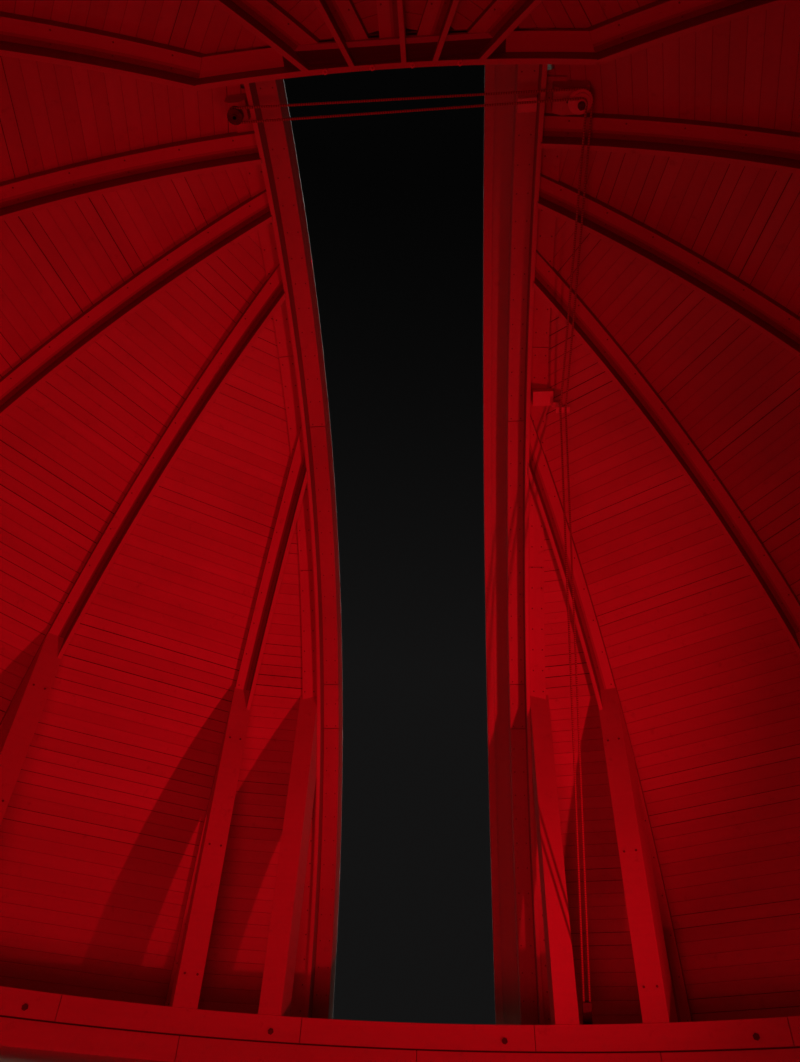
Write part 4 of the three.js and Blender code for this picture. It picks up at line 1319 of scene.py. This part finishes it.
def make_pulley_right():
    build = Build("pulley_block_right_work")
    x, y, outer, inner = ROPE_RIGHT
    sheave(build, x, y, ROPE_Z, outer, LIGHT_PAINT)
    sheave(build, x, y, LOWER_Z, inner, LIGHT_PAINT)
    build.turned((x, y, ROPE_Z - STRAND_GAP / 2), (0, 0, 1), outer - 0.01, 0.005, LIGHT_PAINT, 24)
    build.turned((x, y, LOWER_Z - 0.013), (0, 0, 1), inner - 0.006, 0.004, STEEL, 20)
    hanging_bracket(build, (x - 0.11, x + 0.04), (y - 0.048, y + 0.06), ROPE_Z - 0.055, (x, y, 0.011))
    build.finish("dome", ["pulley_block_right"], "dark_steel", bevel=0.0012)


# Solids that need only a finish and rounded edges

def keep(node, material, bevel):
    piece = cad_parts[node]
    piece.data.materials.clear()
    piece.data.materials.append(material)
    round_edges(piece, bevel, 50)
    return piece


# Stage and light

def make_stage():
    s = new_finish("stage_floor")
    patches = s.noise(s.place(), 0.6, 4.0, 0.55)
    s.surface("Base Color", s.mix(patches, rgb(0.50, 0.50, 0.49), rgb(0.56, 0.56, 0.55)))
    s.surface("Roughness", 0.8)
    bpy.ops.mesh.primitive_plane_add(size=STAGE_SIZE)
    floor = bpy.context.object
    floor.name = "stage_floor"
    floor.location.z = -0.001
    floor.data.materials.append(s.owner)
    return floor


def add_light(name, kind, place, toward, power):
    data = bpy.data.lights.new(name, kind)
    data.energy = power
    light = add(name, data)
    light.location = place
    light.rotation_euler = Vector(toward).to_track_quat("-Z", "Y").to_euler()
    return light


def add_disk(name, place, toward, power, size):
    light = add_light(name, "AREA", place, toward, power)
    light.data.shape = "DISK"
    light.data.size = size
    return light


def make_studio(name, lights, pieces):
    """Soft lights on some pieces only."""
    receivers = bpy.data.collections.new(name)
    for piece in pieces:
        receivers.objects.link(piece)
    for place, size, power in lights:
        light = add_disk("studio", place, Vector(STUDIO_TARGET) - Vector(place), power, size)
        light.light_linking.receiver_collection = receivers


def make_lamp():
    """The red lamp low in the room at the right, and the light that comes back from the room."""
    cosine, sine = turn(LAMP_ELEVATION)
    toward = (*along(LAMP_AZIMUTH, cosine), sine)
    lamp = add_light("red_lamp", "SPOT", LAMP_AT, toward, LAMP_POWER)
    lamp.data.spot_size = radians(LAMP_SPREAD)
    lamp.data.spot_blend = 1.0
    lamp.data.shadow_soft_size = 0.03
    fill = add_disk("red_fill", FILL_AT, FILL_TOWARD, FILL_POWER, FILL_SIZE)
    for light in (lamp, fill):
        light.data.color = LAMP_COLOR


def make_sky():
    """Night sky, a little lighter low down."""
    world = bpy.data.worlds.new("night_sky")
    s = Shader(world)
    height = s.node("SeparateXYZ", {0: s.place("Generated")}, "Z")
    s.feed(s.tree.nodes["Background"].inputs[0], s.ramp(height, 0.5, 0.9, SKY_LOW, SKY_HIGH))
    bpy.context.scene.world = world


# Assembly

for side_name, sign in (("right", 1), ("left", -1)):
    for k in range(1, 5):
        make_rib(f"rib_{side_name}_{k}", sign * k * SIDE_ANGLE, sign * 90, ARCH_OUT_X - RIB_INTO_ARCH)
    make_rib(f"rib_{side_name}_5", sign * HEADER_RIB_AZIMUTH, sign * HEADER_RIB_AZIMUTH, HEADER_END)
    for k in (6, 7):
        make_rib(f"rib_{side_name}_{k}", sign * k * SIDE_ANGLE, sign * 180, -HEADER_REAR_Y - RIB_INTO_HEADER)
    make_arch(f"arch_{side_name}", sign)
    for place_name, first, last in (("front", 0, 2), ("middle", 2, 5), ("rear", 5, 8)):
        gores = range(first, last) if sign > 0 else range(-last, -first)
        dome_panel(f"shell_{side_name}_{place_name}", gores)
make_rib("rib_rear", 180, 180, -HEADER_REAR_Y - RIB_INTO_HEADER)
make_header()
make_ring()
make_skirt()
make_leaf("leaf_right", "right_leaf", 1, LEAF_RIGHT_X)
make_leaf("leaf_left", "left_leaf", -1, LEAF_LEFT_X)
make_wall("wall_left", 180 + SIDE_ANGLE, 5)
make_wall("wall_front", -2 * SIDE_ANGLE, 5)
make_wall("wall_right", 3 * SIDE_ANGLE, 5)
door_side = ((beside_door, 0.0, DOORWAY_TOP), (whole_side, DOORWAY_TOP, WALL_TOP))
make_wall("wall_door_side", 180, 1, door_side, plinth=False)
make_door_frame()
make_door()
make_floor()
make_rope()
make_pulley_left()
make_pulley_right()
keep("track_rail", STEEL, 0.0015)
keep("rope_foot_pulley", STEEL, 0.0012)
keep("rope_guide_box", LIGHT_PAINT, 0.003)
OUTSIDE.append(keep("wall_plate", TIMBER, 0.002))
for rail in ("shutter_rail_upper", "shutter_rail_lower"):
    OUTSIDE.append(keep(rail, STEEL, 0.0012))
make_studio("seen_from_outside", STUDIO_LIGHTS, OUTSIDE + [make_stage()])
make_studio("outside_without_floor", STUDIO_FRONT_LIGHTS, OUTSIDE)
make_lamp()
make_sky()
bpy.context.scene.view_settings.view_transform = "Standard"
